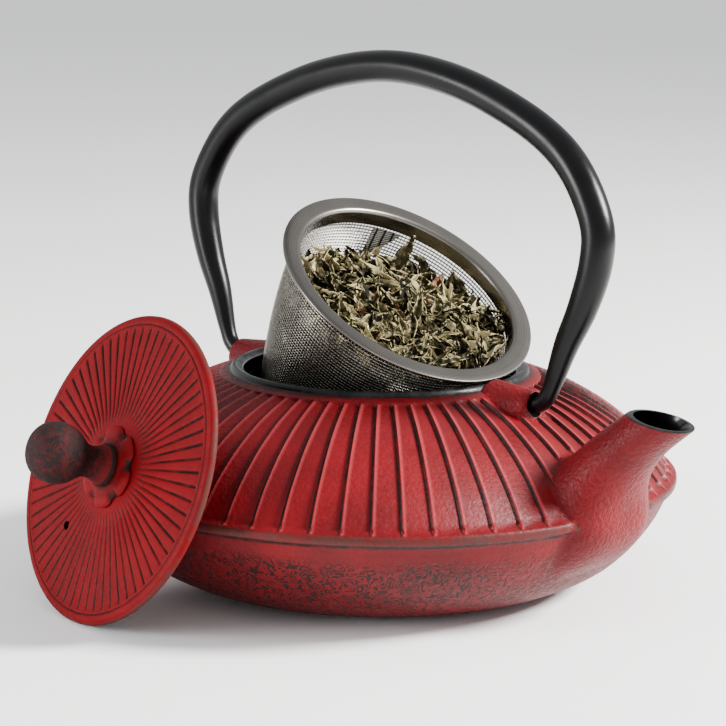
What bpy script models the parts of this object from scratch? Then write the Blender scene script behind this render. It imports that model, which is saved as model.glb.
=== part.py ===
"""Cast iron teapot with a bail handle, a loose lid and a stainless infuser.

Frame: +Z up, +X towards the spout, origin at the centre of the flat base.
Lengths below are in millimetres and are turned into metres as they are used.
The lid leans on the pot and the infuser stands tilted in the mouth.
"""

import math

import bmesh
import bpy
from mathutils import Matrix, Vector

MM = 0.001
GAP = 0.35
CUT_LENGTH = 12.0

# pot
RIDGE_RADIUS = 80.0
RIDGE_HEIGHT = 28.5
WALL = 3.4
BASE_RADIUS = 45.0
MOUTH_RADIUS = 36.8
COLLAR_RADIUS = 40.0
COLLAR_TOP = RIDGE_HEIGHT + 28.2
POT_STEPS = 72

# spout: height, centre distance, half length, half width, tilt in degrees
SPOUT_SECTIONS = (
    (10.0, 52.0, 14.0, 17.0, 0.0),
    (17.0, 60.5, 15.5, 17.5, 0.0),
    (25.0, 67.0, 15.0, 17.0, 0.0),
    (32.0, 70.8, 13.2, 16.0, 0.0),
    (38.4, 74.8, 11.6, 13.2, -2.0),
    (44.1, 79.8, 10.3, 10.6, -4.0),
    (48.4, 84.3, 9.6, 9.0, -7.0),
    (55.4, 93.2, 9.1, 7.6, -9.7),
)
BORE_SECTIONS = (
    (24.0, 58.0, 8.0, 8.5, 0.0),
    (32.0, 66.0, 8.0, 8.5, 0.0),
    (38.4, 73.2, 7.6, 8.3, -2.0),
    (44.1, 79.6, 7.4, 7.4, -4.0),
    (48.4, 84.2, 7.1, 6.6, -7.0),
    (55.4, 93.2, 7.0, 5.6, -9.7),
    (61.0, 99.5, 7.0, 5.6, -9.7),
)
SPOUT_SIDES = 28

# lugs and bail
LUG_RADIUS = 7.5
LUG_INNER = 41.0
LUG_OUTER = 50.8
LUG_TOP = RIDGE_HEIGHT + 29.8
PIVOT_HEIGHT = RIDGE_HEIGHT + 25.2
PIN_RADIUS = 2.3
PIN_HOLE_RADIUS = 2.75
PIN_TIP = 45.9
HOLE_END = 45.2
BAIL_RADIUS = 4.35
BAIL_LEAN = 2.9
BAIL_THIN_BELOW = 5.0
BAIL_TAPER = 37.0
# half of the bail: distance from the middle, height above the pivot
BAIL_ROUTE = (
    (0.0, 83.2), (15.8, 81.7), (32.3, 77.5), (50.4, 69.8), (62.0, 60.9),
    (69.7, 48.2), (70.3, 38.0), (67.0, 26.4), (62.6, 16.5), (59.2, 6.6),
    (57.2, 2.2), (54.6, 0.2), (51.5, 0.0), (PIN_TIP, 0.0),
)

# lid, in its own frame: rim circle at height 0, top side up
LID_RADIUS = 40.1
LID_CENTRE = (-17.9, -78.7, RIDGE_HEIGHT + 9.44)
LID_TILT = 70.0
LID_AZIMUTH = -100.8
LID_HOLE_RADIUS = 2.6
LID_HUB_TOP = 2.4
LID_UNDERSIDE = -0.8
LID_RING_DEPTH = 4.2
LID_RING_OUTER = 35.2
LID_RING_INNER = 32.6
VENT_PLACE = (-13.0, -18.0)
VENT_RADIUS = 1.2
ROSETTE_RADIUS = 10.6
ROSETTE_TOP = 4.0
ROSETTE_NOTCHES = 6
ROSETTE_TURN = 12.0
NOTCH_RADIUS = 2.0
NOTCH_OUTSET = 0.9
KNOB_FOOT = ROSETTE_TOP + GAP
KNOB_RADIUS = 7.8
KNOB_HALF_HEIGHT = 6.6
KNOB_BALL = KNOB_FOOT + 14.7
SCREW_RADIUS = 1.9
SCREW_TIP = KNOB_FOOT + 6.4
SCREW_POCKET = KNOB_FOOT + 7.0
SCREW_BORE = SCREW_RADIUS + GAP
WASHER_RADIUS = 4.6
WASHER_THICK = 0.7

# infuser, in its own frame: top of the rim at height 0, axis up
RIM_RADIUS = 36.3
RIM_THICK = 0.8
INFUSER_DEPTH = 44.5
INFUSER_CENTRE = (10.0, 0.2, RIDGE_HEIGHT + 50.8)
INFUSER_TILT = 35.2
INFUSER_AZIMUTH = -3.0
MESH_THICK = 0.8
MESH_TOP_RADIUS = 32.6
MESH_DRAW_IN = 8.6
MESH_DEPTHS = (RIM_THICK + GAP, 8.0, 16.0, 24.0, 31.0, 37.0, 41.0, 43.6)
SKIRT_RADIUS = MESH_TOP_RADIUS - MESH_THICK - 2 * GAP
SKIRT_DEPTH = 5.2
SKIRT_THICK = 0.6
FLOOR_TOP = 0.9
FLOOR_UNDER = 0.1
SEAM_TOP = SKIRT_DEPTH + GAP
SEAM_LOW = 38.0
SEAM_THICK = 0.5
SEAM_WIDTH = 7.5
SEAM_TURN = -32.0
HEAP_DEPTH = 9.0
HEAP_SLOPE = -10.0
HEAP_INSET = MESH_THICK + 3 * GAP + 0.5
HEAP_FOOT = INFUSER_DEPTH - 1.6


def clear_scene():
    for obj in list(bpy.data.objects):
        bpy.data.objects.remove(obj)
    for coll in list(bpy.data.collections):
        bpy.data.collections.remove(coll)


def new_collection(name):
    coll = bpy.data.collections.new(name)
    bpy.context.scene.collection.children.link(coll)
    return coll


def material(name, colour, roughness, metallic):
    mat = bpy.data.materials.new(name)
    mat.use_nodes = True
    shader = mat.node_tree.nodes["Principled BSDF"]
    shader.inputs["Base Color"].default_value = (*colour, 1.0)
    shader.inputs["Roughness"].default_value = roughness
    shader.inputs["Metallic"].default_value = metallic
    return mat


def add_object(coll, name, mesh, mat=None):
    obj = bpy.data.objects.new(name, mesh)
    coll.objects.link(obj)
    if mat:
        obj.data.materials.append(mat)
    return obj


def as_cutter(obj):
    obj.hide_render = True
    obj.display_type = "WIRE"
    return obj


def turned(coll, name, profile, steps, mat=None):
    """A profile of (radius, height) in mm, turned about Z.

    The profile runs down the outer side. It is closed into a loop unless it
    starts and ends on the axis.
    """
    mesh = bpy.data.meshes.new(name)
    points = [(r * MM, 0.0, z * MM) for r, z in profile]
    edges = [(i, i + 1) for i in range(len(points) - 1)]
    if profile[0][0] > 0.0:
        edges.append((len(points) - 1, 0))
    mesh.from_pydata(points, edges, [])
    obj = add_object(coll, name, mesh, mat)
    screw = obj.modifiers.new("Turn", "SCREW")
    screw.axis = "Z"
    screw.steps = steps
    screw.render_steps = steps
    screw.use_merge_vertices = True
    screw.merge_threshold = 0.00001
    screw.use_smooth_shade = True
    return obj


def ring_points(section, sides):
    """One ellipse of the spout, as points in metres."""
    height, centre, half_length, half_width, tilt = section
    lean = math.radians(tilt)
    points = []
    for i in range(sides):
        turn = 2.0 * math.pi * i / sides
        along = half_length * math.cos(turn)
        x = centre + along * math.cos(lean)
        z = height + along * math.sin(lean)
        points.append(Vector((x, half_width * math.sin(turn), z)) * MM)
    return points


def loft(coll, name, sections, sides, mat=None):
    """A closed tube through unlike ellipses."""
    bm = bmesh.new()
    rings = [[bm.verts.new(p) for p in ring_points(s, sides)] for s in sections]
    for lower, upper in zip(rings, rings[1:]):
        for i in range(sides):
            j = (i + 1) % sides
            bm.faces.new((lower[i], lower[j], upper[j], upper[i]))
    bm.faces.new(list(reversed(rings[0])))
    bm.faces.new(rings[-1])
    mesh = bpy.data.meshes.new(name)
    bm.to_mesh(mesh)
    bm.free()
    mesh.shade_smooth()
    return add_object(coll, name, mesh, mat)


def cylinder(coll, name, radius, length, sides, place, mat=None):
    """A cylinder whose matrix carries its own +Z axis onto the wanted line."""
    bm = bmesh.new()
    bmesh.ops.create_cone(
        bm, cap_ends=True, segments=sides,
        radius1=radius * MM, radius2=radius * MM, depth=length * MM,
    )
    bmesh.ops.transform(bm, matrix=place, verts=bm.verts)
    mesh = bpy.data.meshes.new(name)
    bm.to_mesh(mesh)
    bm.free()
    return add_object(coll, name, mesh, mat)


def block(coll, name, size, place):
    """A cube of this many metres a side, put in place by a matrix."""
    bm = bmesh.new()
    bmesh.ops.create_cube(bm, size=size)
    bmesh.ops.transform(bm, matrix=place, verts=bm.verts)
    mesh = bpy.data.meshes.new(name)
    bm.to_mesh(mesh)
    bm.free()
    return add_object(coll, name, mesh)


def boolean(obj, other, operation):
    mod = obj.modifiers.new(other.name, "BOOLEAN")
    mod.operation = operation
    mod.solver = "EXACT"
    mod.object = other


def along_x(x, z):
    """Matrix that lays a cylinder along X with its middle at (x, 0, z) mm."""
    turn = Matrix.Rotation(math.radians(90.0), 4, "Y")
    return Matrix.Translation((x * MM, 0.0, z * MM)) @ turn


def tilted_empty(coll, name, centre, tilt, azimuth):
    """An empty whose +Z leans by tilt towards azimuth; its Y points uphill."""
    empty = bpy.data.objects.new(name, None)
    coll.objects.link(empty)
    turn = Matrix.Rotation(math.radians(azimuth - 90.0), 4, "Z")
    lean = Matrix.Rotation(math.radians(-tilt), 4, "X")
    flip = Matrix.Rotation(math.pi, 4, "Z")
    place = Matrix.Translation(Vector(centre) * MM)
    empty.matrix_world = place @ turn @ lean @ flip
    return empty


def hang(obj, empty):
    obj.parent = empty
    return obj


def pot_outer_profile():
    ridge = RIDGE_HEIGHT
    return [
        (0.0, COLLAR_TOP - 6.0),
        (MOUTH_RADIUS - 2.0, COLLAR_TOP - 6.0),
        (MOUTH_RADIUS - 2.0, COLLAR_TOP),
        (COLLAR_RADIUS - 0.7, COLLAR_TOP),
        (COLLAR_RADIUS, COLLAR_TOP - 0.7),
        (COLLAR_RADIUS, COLLAR_TOP - 1.6),
        (42.0, ridge + 25.9),
        (48.0, ridge + 24.2),
        (56.0, ridge + 21.3),
        (64.0, ridge + 16.6),
        (72.0, ridge + 10.2),
        (77.0, ridge + 4.8),
        (RIDGE_RADIUS, ridge + 0.4),
        (RIDGE_RADIUS + 0.6, ridge - 1.0),
        (RIDGE_RADIUS, ridge - 2.6),
        (77.8, ridge - 4.0),
        (75.8, ridge - 8.5),
        (72.8, ridge - 13.0),
        (69.0, ridge - 17.5),
        (63.6, ridge - 22.0),
        (54.6, ridge - 26.3),
        (BASE_RADIUS, 0.0),
        (0.0, 0.0),
    ]


def pot_cavity_profile():
    ridge = RIDGE_HEIGHT
    return [
        (0.0, COLLAR_TOP + 4.0),
        (MOUTH_RADIUS, COLLAR_TOP + 4.0),
        (MOUTH_RADIUS, COLLAR_TOP - 4.6),
        (44.0, ridge + 21.4),
        (54.0, ridge + 18.2),
        (62.0, ridge + 13.4),
        (69.5, ridge + 7.2),
        (73.8, ridge + 2.4),
        (75.0, ridge - 1.4),
        (74.0, ridge - 5.2),
        (71.8, ridge - 9.6),
        (67.6, ridge - 14.6),
        (62.0, ridge - 18.8),
        (53.6, ridge - 22.9),
        (44.0, WALL),
        (0.0, WALL),
    ]


def build_pot(parts, cutters):
    enamel = material("red_enamel_on_cast_iron", (0.47, 0.02, 0.03), 0.5, 0.1)
    pot = turned(parts, "pot_body", pot_outer_profile(), POT_STEPS, enamel)
    spout = as_cutter(loft(cutters, "spout_outer", SPOUT_SECTIONS, SPOUT_SIDES))
    boolean(pot, spout, "UNION")
    length = LUG_OUTER - LUG_INNER
    for side in (1, -1):
        place = along_x(side * (LUG_INNER + length / 2), LUG_TOP - LUG_RADIUS)
        lug = as_cutter(cylinder(cutters, "lug", LUG_RADIUS, length, 24, place))
        boolean(pot, lug, "UNION")
    cavity = as_cutter(turned(cutters, "cavity", pot_cavity_profile(), POT_STEPS))
    boolean(pot, cavity, "DIFFERENCE")
    bore = as_cutter(loft(cutters, "spout_bore", BORE_SECTIONS, SPOUT_SIDES))
    boolean(pot, bore, "DIFFERENCE")
    depth = LUG_OUTER + 6.0 - HOLE_END
    for side in (1, -1):
        place = along_x(side * (HOLE_END + depth / 2), PIVOT_HEIGHT)
        hole = as_cutter(cylinder(cutters, "pin_hole", PIN_HOLE_RADIUS, depth, 16, place))
        boolean(pot, hole, "DIFFERENCE")
    return pot


def smooth_route(points, per_span):
    """Catmull-Rom curve through (x, z) points."""
    ends = [Vector(points[0]) * 2 - Vector(points[1])]
    ends += [Vector(p) for p in points]
    ends.append(Vector(points[-1]) * 2 - Vector(points[-2]))
    route = []
    for a, b, c, d in zip(ends, ends[1:], ends[2:], ends[3:]):
        for i in range(per_span):
            t = i / per_span
            route.append(0.5 * (
                2 * b + (c - a) * t
                + (2 * a - 5 * b + 4 * c - d) * t ** 2
                + (3 * b - a - 3 * c + d) * t ** 3
            ))
    route.append(Vector(points[-1]))
    return route


def bail_tube_radius(height):
    """The tube is full size up high and thins down to the pins."""
    share = min(max((height - BAIL_THIN_BELOW) / BAIL_TAPER, 0.0), 1.0)
    return PIN_RADIUS + (BAIL_RADIUS - PIN_RADIUS) * math.sin(share * math.pi / 2)


def build_bail(parts):
    black = material("black_powder_coat", (0.012, 0.012, 0.013), 0.35, 0.3)
    mirrored = [(-x, z) for x, z in BAIL_ROUTE[:0:-1]]
    route = smooth_route(mirrored + list(BAIL_ROUTE), 2)
    curve = bpy.data.curves.new("bail_handle", "CURVE")
    curve.dimensions = "3D"
    curve.bevel_depth = MM
    curve.bevel_resolution = 4
    curve.use_fill_caps = True
    spline = curve.splines.new("POLY")
    spline.points.add(len(route) - 1)
    for point, (x, z) in zip(spline.points, route):
        point.co = (x * MM, 0.0, z * MM, 1.0)
        point.radius = bail_tube_radius(z)
    bail = bpy.data.objects.new("bail_handle", curve)
    curve.materials.append(black)
    parts.objects.link(bail)
    bail.location = (0.0, 0.0, PIVOT_HEIGHT * MM)
    bail.rotation_euler = (math.radians(-BAIL_LEAN), 0.0, 0.0)
    return bail


def build_plate(parts, cutters, axis):
    enamel = material("red_enamel_lid", (0.50, 0.02, 0.03), 0.5, 0.1)
    plate = turned(parts, "lid_plate", [
        (LID_HOLE_RADIUS, LID_HUB_TOP), (13.0, 2.2), (26.0, 1.7), (37.0, 1.1),
        (39.2, 0.9), (LID_RADIUS, 0.0), (LID_RADIUS - 0.3, -0.9),
        (39.0, -1.2), (LID_RING_OUTER, -1.2), (LID_RING_OUTER - 0.2, -LID_RING_DEPTH),
        (LID_RING_INNER, -LID_RING_DEPTH), (32.0, -1.0), (LID_HOLE_RADIUS, LID_UNDERSIDE),
    ], POT_STEPS, enamel)
    hang(plate, axis)
    place = Matrix.Translation((VENT_PLACE[0] * MM, VENT_PLACE[1] * MM, 0.0))
    vent = as_cutter(cylinder(cutters, "vent", VENT_RADIUS, CUT_LENGTH, 12, place))
    hang(vent, axis)
    boolean(plate, vent, "DIFFERENCE")


def build_rosette(parts, cutters, axis):
    worn = material("worn_red_rosette", (0.30, 0.02, 0.02), 0.55, 0.15)
    low = LID_HUB_TOP + GAP
    rosette = turned(parts, "knob_rosette", [
        (LID_HOLE_RADIUS, ROSETTE_TOP), (7.6, ROSETTE_TOP),
        (ROSETTE_RADIUS, ROSETTE_TOP - 0.7), (ROSETTE_RADIUS, low), (LID_HOLE_RADIUS, low),
    ], 36, worn)
    hang(rosette, axis)
    for i in range(ROSETTE_NOTCHES):
        turn = 2.0 * math.pi * i / ROSETTE_NOTCHES + math.radians(ROSETTE_TURN)
        reach = (ROSETTE_RADIUS + NOTCH_OUTSET) * MM
        place = Matrix.Translation((reach * math.cos(turn), reach * math.sin(turn), 0.0))
        notch = as_cutter(cylinder(cutters, "notch", NOTCH_RADIUS, CUT_LENGTH, 12, place))
        hang(notch, axis)
        boolean(rosette, notch, "DIFFERENCE")


def build_knob(parts, axis):
    brown = material("worn_iron_knob", (0.09, 0.025, 0.02), 0.6, 0.3)
    profile = [(0.0, KNOB_BALL + KNOB_HALF_HEIGHT)]
    for degrees in range(72, -55, -18):
        turn = math.radians(degrees)
        height = KNOB_BALL + KNOB_HALF_HEIGHT * math.sin(turn)
        profile.append((KNOB_RADIUS * math.cos(turn), height))
    profile += [
        (4.0, KNOB_FOOT + 7.4), (3.9, KNOB_FOOT + 4.6), (4.6, KNOB_FOOT + 2.2),
        (5.6, KNOB_FOOT + 0.6), (5.6, KNOB_FOOT), (SCREW_BORE, KNOB_FOOT),
        (SCREW_BORE, SCREW_POCKET), (0.0, SCREW_POCKET),
    ]
    hang(turned(parts, "lid_knob", profile, 36, brown), axis)


def build_knob_fixing(parts, axis):
    """The washer and screw that hold the knob from under the lid."""
    steel = material("zinc_plated_steel", (0.45, 0.45, 0.43), 0.4, 0.9)
    top = LID_UNDERSIDE - GAP
    under = top - WASHER_THICK
    washer = turned(parts, "knob_washer", [
        (WASHER_RADIUS, top), (WASHER_RADIUS, under), (SCREW_BORE, under), (SCREW_BORE, top),
    ], 24, steel)
    hang(washer, axis)
    head = under - GAP
    screw = turned(parts, "knob_screw", [
        (0.0, SCREW_TIP), (SCREW_RADIUS, SCREW_TIP), (SCREW_RADIUS, head),
        (3.6, head), (3.2, head - 1.4), (1.8, head - 2.0), (0.0, head - 2.0),
    ], 24, steel)
    hang(screw, axis)


def build_lid(parts, cutters):
    axis = tilted_empty(parts, "lid_axis", LID_CENTRE, LID_TILT, LID_AZIMUTH)
    build_plate(parts, cutters, axis)
    build_rosette(parts, cutters, axis)
    build_knob(parts, axis)
    build_knob_fixing(parts, axis)


def infuser_radius(depth):
    """Outer radius of the basket at a depth below the rim: straight, then drawn in."""
    return MESH_TOP_RADIUS - MESH_DRAW_IN * (depth / INFUSER_DEPTH) ** 1.6


def build_rim(parts, axis):
    steel = material("brushed_stainless", (0.55, 0.54, 0.51), 0.28, 1.0)
    inside = SKIRT_RADIUS - SKIRT_THICK
    rim = turned(parts, "infuser_rim", [
        (RIM_RADIUS - 0.3, 0.0), (RIM_RADIUS, -0.3), (RIM_RADIUS, -RIM_THICK),
        (SKIRT_RADIUS, -RIM_THICK), (SKIRT_RADIUS, -SKIRT_DEPTH),
        (inside, -SKIRT_DEPTH), (inside, -0.9), (SKIRT_RADIUS + 0.6, 0.0),
    ], 64, steel)
    hang(rim, axis)


def build_basket(parts, axis, mesh_steel):
    outer = [(infuser_radius(d), -d) for d in MESH_DEPTHS]
    foot = infuser_radius(MESH_DEPTHS[-1]) - 1.0
    outer.append((foot, -INFUSER_DEPTH))
    inner = [(r - MESH_THICK, z) for r, z in outer]
    wall = turned(parts, "infuser_wall", outer + inner[::-1], 56, mesh_steel)
    hang(wall, axis)
    radius = foot - MESH_THICK - GAP
    floor = turned(parts, "infuser_floor", [
        (0.0, FLOOR_TOP - INFUSER_DEPTH), (radius, FLOOR_TOP - INFUSER_DEPTH),
        (radius, FLOOR_UNDER - INFUSER_DEPTH), (0.0, FLOOR_UNDER - INFUSER_DEPTH),
    ], 48, mesh_steel)
    hang(floor, axis)


def build_seam(parts, cutters, axis, mesh_steel):
    """The lapped strip where the mesh closes: a ring, cut down to a narrow strip."""
    spread = [SEAM_TOP + (SEAM_LOW - SEAM_TOP) * i / 5 for i in range(6)]
    outside = [(infuser_radius(d) - MESH_THICK - GAP, -d) for d in spread]
    inside = [(r - SEAM_THICK, z) for r, z in outside]
    seam = turned(parts, "infuser_seam", outside + inside[::-1], 56, mesh_steel)
    hang(seam, axis)
    centre = Matrix.Translation((0.0, MESH_TOP_RADIUS * MM, -INFUSER_DEPTH / 2 * MM))
    size = Matrix.Diagonal((SEAM_WIDTH * MM, 20.0 * MM, 60.0 * MM, 1.0))
    turn = Matrix.Rotation(math.radians(SEAM_TURN), 4, "Z")
    strip = as_cutter(block(cutters, "seam_strip", 1.0, turn @ centre @ size))
    hang(strip, axis)
    boolean(seam, strip, "INTERSECT")


def build_leaves(parts, cutters, axis):
    """The heap of leaves fills the basket up to a sloping surface."""
    green = material("dried_green_tea", (0.16, 0.15, 0.07), 0.85, 0.0)
    profile = [(0.0, -3.0)]
    profile += [(infuser_radius(d) - HEAP_INSET, -d) for d in (3.0, 12.0, 22.0, 32.0, 40.0)]
    profile += [(22.0, -HEAP_FOOT), (0.0, -HEAP_FOOT)]
    heap = turned(parts, "tea_leaves", profile, 40, green)
    hang(heap, axis)
    lift = Matrix.Translation((0.0, 0.0, 0.1 - HEAP_DEPTH * MM))
    slope = Matrix.Rotation(math.radians(HEAP_SLOPE), 4, "X")
    top = as_cutter(block(cutters, "heap_top", 0.2, lift @ slope))
    hang(top, axis)
    boolean(heap, top, "DIFFERENCE")


def build_infuser(parts, cutters):
    mesh_steel = material("woven_stainless_mesh", (0.42, 0.41, 0.38), 0.4, 0.9)
    axis = tilted_empty(parts, "infuser_axis", INFUSER_CENTRE, INFUSER_TILT, INFUSER_AZIMUTH)
    build_rim(parts, axis)
    build_basket(parts, axis, mesh_steel)
    build_seam(parts, cutters, axis, mesh_steel)
    build_leaves(parts, cutters, axis)


def main():
    clear_scene()
    parts = new_collection("cast_iron_teapot")
    cutters = new_collection("cutters")
    build_pot(parts, cutters)
    build_bail(parts)
    build_lid(parts, cutters)
    build_infuser(parts, cutters)


if __name__ == "__main__":
    main()
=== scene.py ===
"""A red cast iron teapot: lid off and leaning, infuser full of green tea in its mouth.

+Z is up, +X points to the spout, and the origin is the centre of the base.
Lengths in the tables are millimetres.
"""

import math
import random

import bpy
from mathutils import Matrix, Vector, noise
from mathutils.bvhtree import BVHTree


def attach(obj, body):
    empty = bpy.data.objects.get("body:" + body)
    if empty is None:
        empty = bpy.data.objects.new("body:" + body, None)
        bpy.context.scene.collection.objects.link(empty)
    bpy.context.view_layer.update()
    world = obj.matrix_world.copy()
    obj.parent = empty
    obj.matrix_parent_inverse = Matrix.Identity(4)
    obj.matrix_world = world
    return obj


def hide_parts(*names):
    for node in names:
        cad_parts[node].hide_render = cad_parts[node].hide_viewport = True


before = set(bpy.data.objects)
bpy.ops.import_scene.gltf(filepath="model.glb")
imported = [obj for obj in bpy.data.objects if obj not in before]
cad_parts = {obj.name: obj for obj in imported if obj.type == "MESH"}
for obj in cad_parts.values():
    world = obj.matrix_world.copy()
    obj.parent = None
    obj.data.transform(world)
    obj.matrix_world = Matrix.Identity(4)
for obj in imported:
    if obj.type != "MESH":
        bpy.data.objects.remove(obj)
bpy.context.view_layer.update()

bl_info = {
    "name": "Cast iron teapot",
    "version": (1, 0, 0),
    "blender": (4, 5, 0),
    "location": "3D View > Sidebar > Teapot",
    "description": "Builds an enamelled cast iron teapot with its lid, bail and tea infuser",
    "category": "Add Mesh",
}

MM = 0.001
FULL_TURN = 2.0 * math.pi

# pot: outlines of (radius, height)
FOOT_LINE = ((0.0, 0.7), (36.5, 0.7), (38.0, 0.0), (45.0, 0.0))
BOWL_LINE = (
    (45.0, 0.0), (54.6, 2.2), (63.6, 6.5), (69.0, 11.0), (72.8, 15.5), (75.8, 20.0),
    (77.9, 24.4), (78.7, 26.5),
)
FLANGE_LINE = (
    (79.2, 27.0), (79.9, 27.1), (80.4, 27.5), (80.6, 28.3), (80.5, 29.2), (80.1, 29.7),
    (79.6, 29.9),
)
DOME_LINE = (
    (79.2, 30.2), (77.0, 33.3), (72.0, 38.7), (64.0, 45.1), (56.0, 49.9), (50.0, 52.6),
    (46.0, 54.1), (43.6, 54.9),
)
RING_LINE = ((43.2, 55.0), (42.2, 55.35), (41.2, 55.65), (40.6, 55.85))
COLLAR_LINE = (
    (40.3, 56.0), (40.2, 56.4), (39.9, 56.9), (39.4, 57.25), (38.8, 57.25),
    (38.4, 57.05), (38.1, 56.7), (37.7, 56.5), (37.1, 56.4), (36.8, 56.1), (36.8, 52.5),
)
COLLAR_RADIUS, COLLAR_FROM = 40.45, 55.9
MOUTH_RADIUS, MOUTH_FROM = 37.3, 48.0
CAVITY_LINE = (
    (0.0, 54.0), (36.7, 54.0), (36.7, 52.1), (44.0, 49.9), (54.0, 46.7), (62.0, 41.9),
    (69.5, 35.7), (73.8, 30.9), (75.0, 27.1), (74.0, 23.3), (71.8, 18.9), (67.6, 13.9),
    (62.0, 9.7), (53.6, 5.6), (44.0, 3.4), (0.0, 3.4),
)
PANELS = 66
PANEL_PHASE = -43.9
COLUMNS_PER_PANEL = 10
ON_LINE = 0.3
TURN_SLACK = 0.0001
TOUCHING = 0.03
OFF_SKIN = 0.12

# spout: height, centre distance, half length, half width, tilt in degrees
SPOUT_RINGS = (
    (10.0, 52.0, 15.0, 15.0, 0.0), (15.5, 60.0, 16.0, 16.5, 0.0),
    (20.0, 64.0, 16.8, 17.2, 0.0), (24.5, 66.0, 17.4, 17.6, 0.0),
    (28.5, 66.6, 17.2, 17.5, 0.0), (32.0, 68.0, 15.8, 16.6, 0.0),
    (38.4, 74.8, 11.6, 13.2, -2.0), (44.1, 79.8, 10.3, 10.6, -4.0),
    (48.4, 84.3, 9.6, 9.0, -7.0), (52.6, 89.6, 9.2, 8.1, -9.0),
    (54.7, 92.3, 9.1, 7.65, -9.7), (55.2, 92.95, 9.05, 7.6, -9.7), (55.5, 93.3, 8.7, 7.2, -9.7),
)
SPOUT_SQUARE_TO = 33.0
SPOUT_SQUARENESS = 3.0
SPOUT_SEAM = 1.6
LIP_PLACE, LIP_TILT = (93.3, 55.5), -9.7
LIP_REACH, LIP_DEPTH = 12.0, 0.4
BORE_RINGS = (
    (24.0, 58.0, 8.0, 8.5, 0.0), (32.0, 66.0, 8.0, 8.5, 0.0), (38.4, 73.2, 7.6, 8.3, -2.0),
    (44.1, 79.6, 7.4, 7.4, -4.0), (48.4, 84.2, 7.1, 6.6, -7.0), (54.4, 91.9, 7.2, 5.8, -9.7),
    (55.3, 93.05, 7.8, 6.4, -9.7), (61.0, 100.4, 8.4, 7.0, -9.7),
)

# lugs and bail
LUG_FROM, LUG_TO = 40.2, 53.6
LUG_CENTRE = 50.8
LUG_RADIUS = 7.5
LUG_TAPER = 0.66
LUG_TAPER_CENTRE = 55.2
LUG_ROUNDING = 0.8
LUG_SEAM, LUG_SEAM_FROM = 1.0, 41.3
HOLE_RADII, HOLE_DEPTH, HOLE_CENTRE = (2.75, 3.3), 9.6, 50.0
PIVOT = 53.7
PIN_RADIUS = 2.3
PIN_TIP = 45.9
BAIL_LEAN = 2.9
BAIL_THIN_UP_TO, BAIL_TAPER = 5.0, 37.0
BAIL_ROUTE = (
    (0.0, 83.2), (15.8, 81.7), (32.3, 77.5), (50.4, 69.8), (62.0, 60.9),
    (69.7, 48.2), (70.3, 38.0), (67.0, 26.4), (62.6, 16.5), (59.2, 6.6),
    (57.2, 2.2), (54.6, 0.2), (51.5, 0.0), (PIN_TIP, 0.0),
)

# lid, upright in its own frame: rim circle at height 0
LID_CENTRE = (-17.9, -78.7, 37.94)
LID_TILT, LID_AZIMUTH = 70.0, -100.8
LID_TOP_LINE = ((2.6, 2.5), (8.0, 2.45), (12.0, 2.3), (16.0, 2.0), (26.0, 1.65), (36.5, 1.2))
LID_EDGE_LINE = (
    (36.8, 1.25), (37.3, 1.2), (37.6, 1.0), (37.9, 1.2), (38.6, 1.2), (39.2, 1.05),
    (39.7, 0.75), (40.0, 0.3), (40.1, -0.2), (39.95, -0.7), (39.6, -1.05), (39.0, -1.2),
    (35.5, -1.2), (35.2, -1.4), (35.0, -4.0), (34.8, -4.2), (32.9, -4.2), (32.6, -4.0),
    (32.1, -1.2), (31.7, -1.0), (20.0, -0.9), (2.6, -0.8),
)
LID_UNDERSIDE = -1.1
LID_GROOVES = 64
LID_PHASE = 3.5
COLUMNS_PER_GROOVE = 8
GROOVE_REACH, GROOVE_ABOVE, GROOVE_WIDTH = (13.0, 36.6), 0.6, 0.3
VENT_PLACE, VENT_RADIUS = (-13.0, -18.0), 1.2
ROSETTE_LINE = ((2.6, 3.95), (6.2, 4.05), (7.2, 3.9), (8.3, 4.0), (9.6, 3.8), (10.4, 3.3))
ROSETTE_EDGE = ((10.6, 2.9), (10.4, 2.78), (2.6, 2.78))
ROSETTE_LOBES, ROSETTE_TURN, ROSETTE_MIDDLE = 6, 12.0, 3.2
NOTCH_FROM, NOTCH_HALF_ANGLE, NOTCH_SHARE, NOTCH_SINK = 6.5, 11.0, 0.13, 0.85

# knob, heights above its foot: the outline, then the foot and the screw's bore
KNOB_FOOT = 4.35
KNOB_LINE = (
    (5.6, 0.5), (4.7, 2.2), (4.1, 4.4), (4.3, 6.6), (5.6, 8.8), (7.2, 11.4), (7.8, 14.7),
    (7.2, 18.0), (5.2, 20.4), (2.6, 21.4), (0.0, 21.6),
)
KNOB_BORE = ((2.25, 0.0), (5.3, 0.0), (5.6, 0.25), (0.0, 7.0), (2.25, 7.0), (2.25, 0.0))

# infuser, upright in its own frame: top of the rim at height 0
INFUSER_CENTRE = (10.0, 0.2, 79.3)
INFUSER_TILT, INFUSER_AZIMUTH = 35.2, -3.0
INFUSER_DEPTH = 44.5
RIM_LINE = (
    (36.0, 0.0), (36.2, -0.07), (36.3, -0.25), (36.3, -0.55), (36.2, -0.75), (36.0, -0.8),
    (31.9, -0.8), (31.6, -1.2), (31.5, -4.7), (31.2, -4.8), (31.0, -4.6), (31.0, -1.3),
    (31.12, -0.7), (31.45, -0.25), (31.9, -0.05), (32.4, 0.0), (34.5, 0.0),
)
MESH_TOP_RADIUS = 32.6
MESH_DRAW_IN = 8.6

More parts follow.
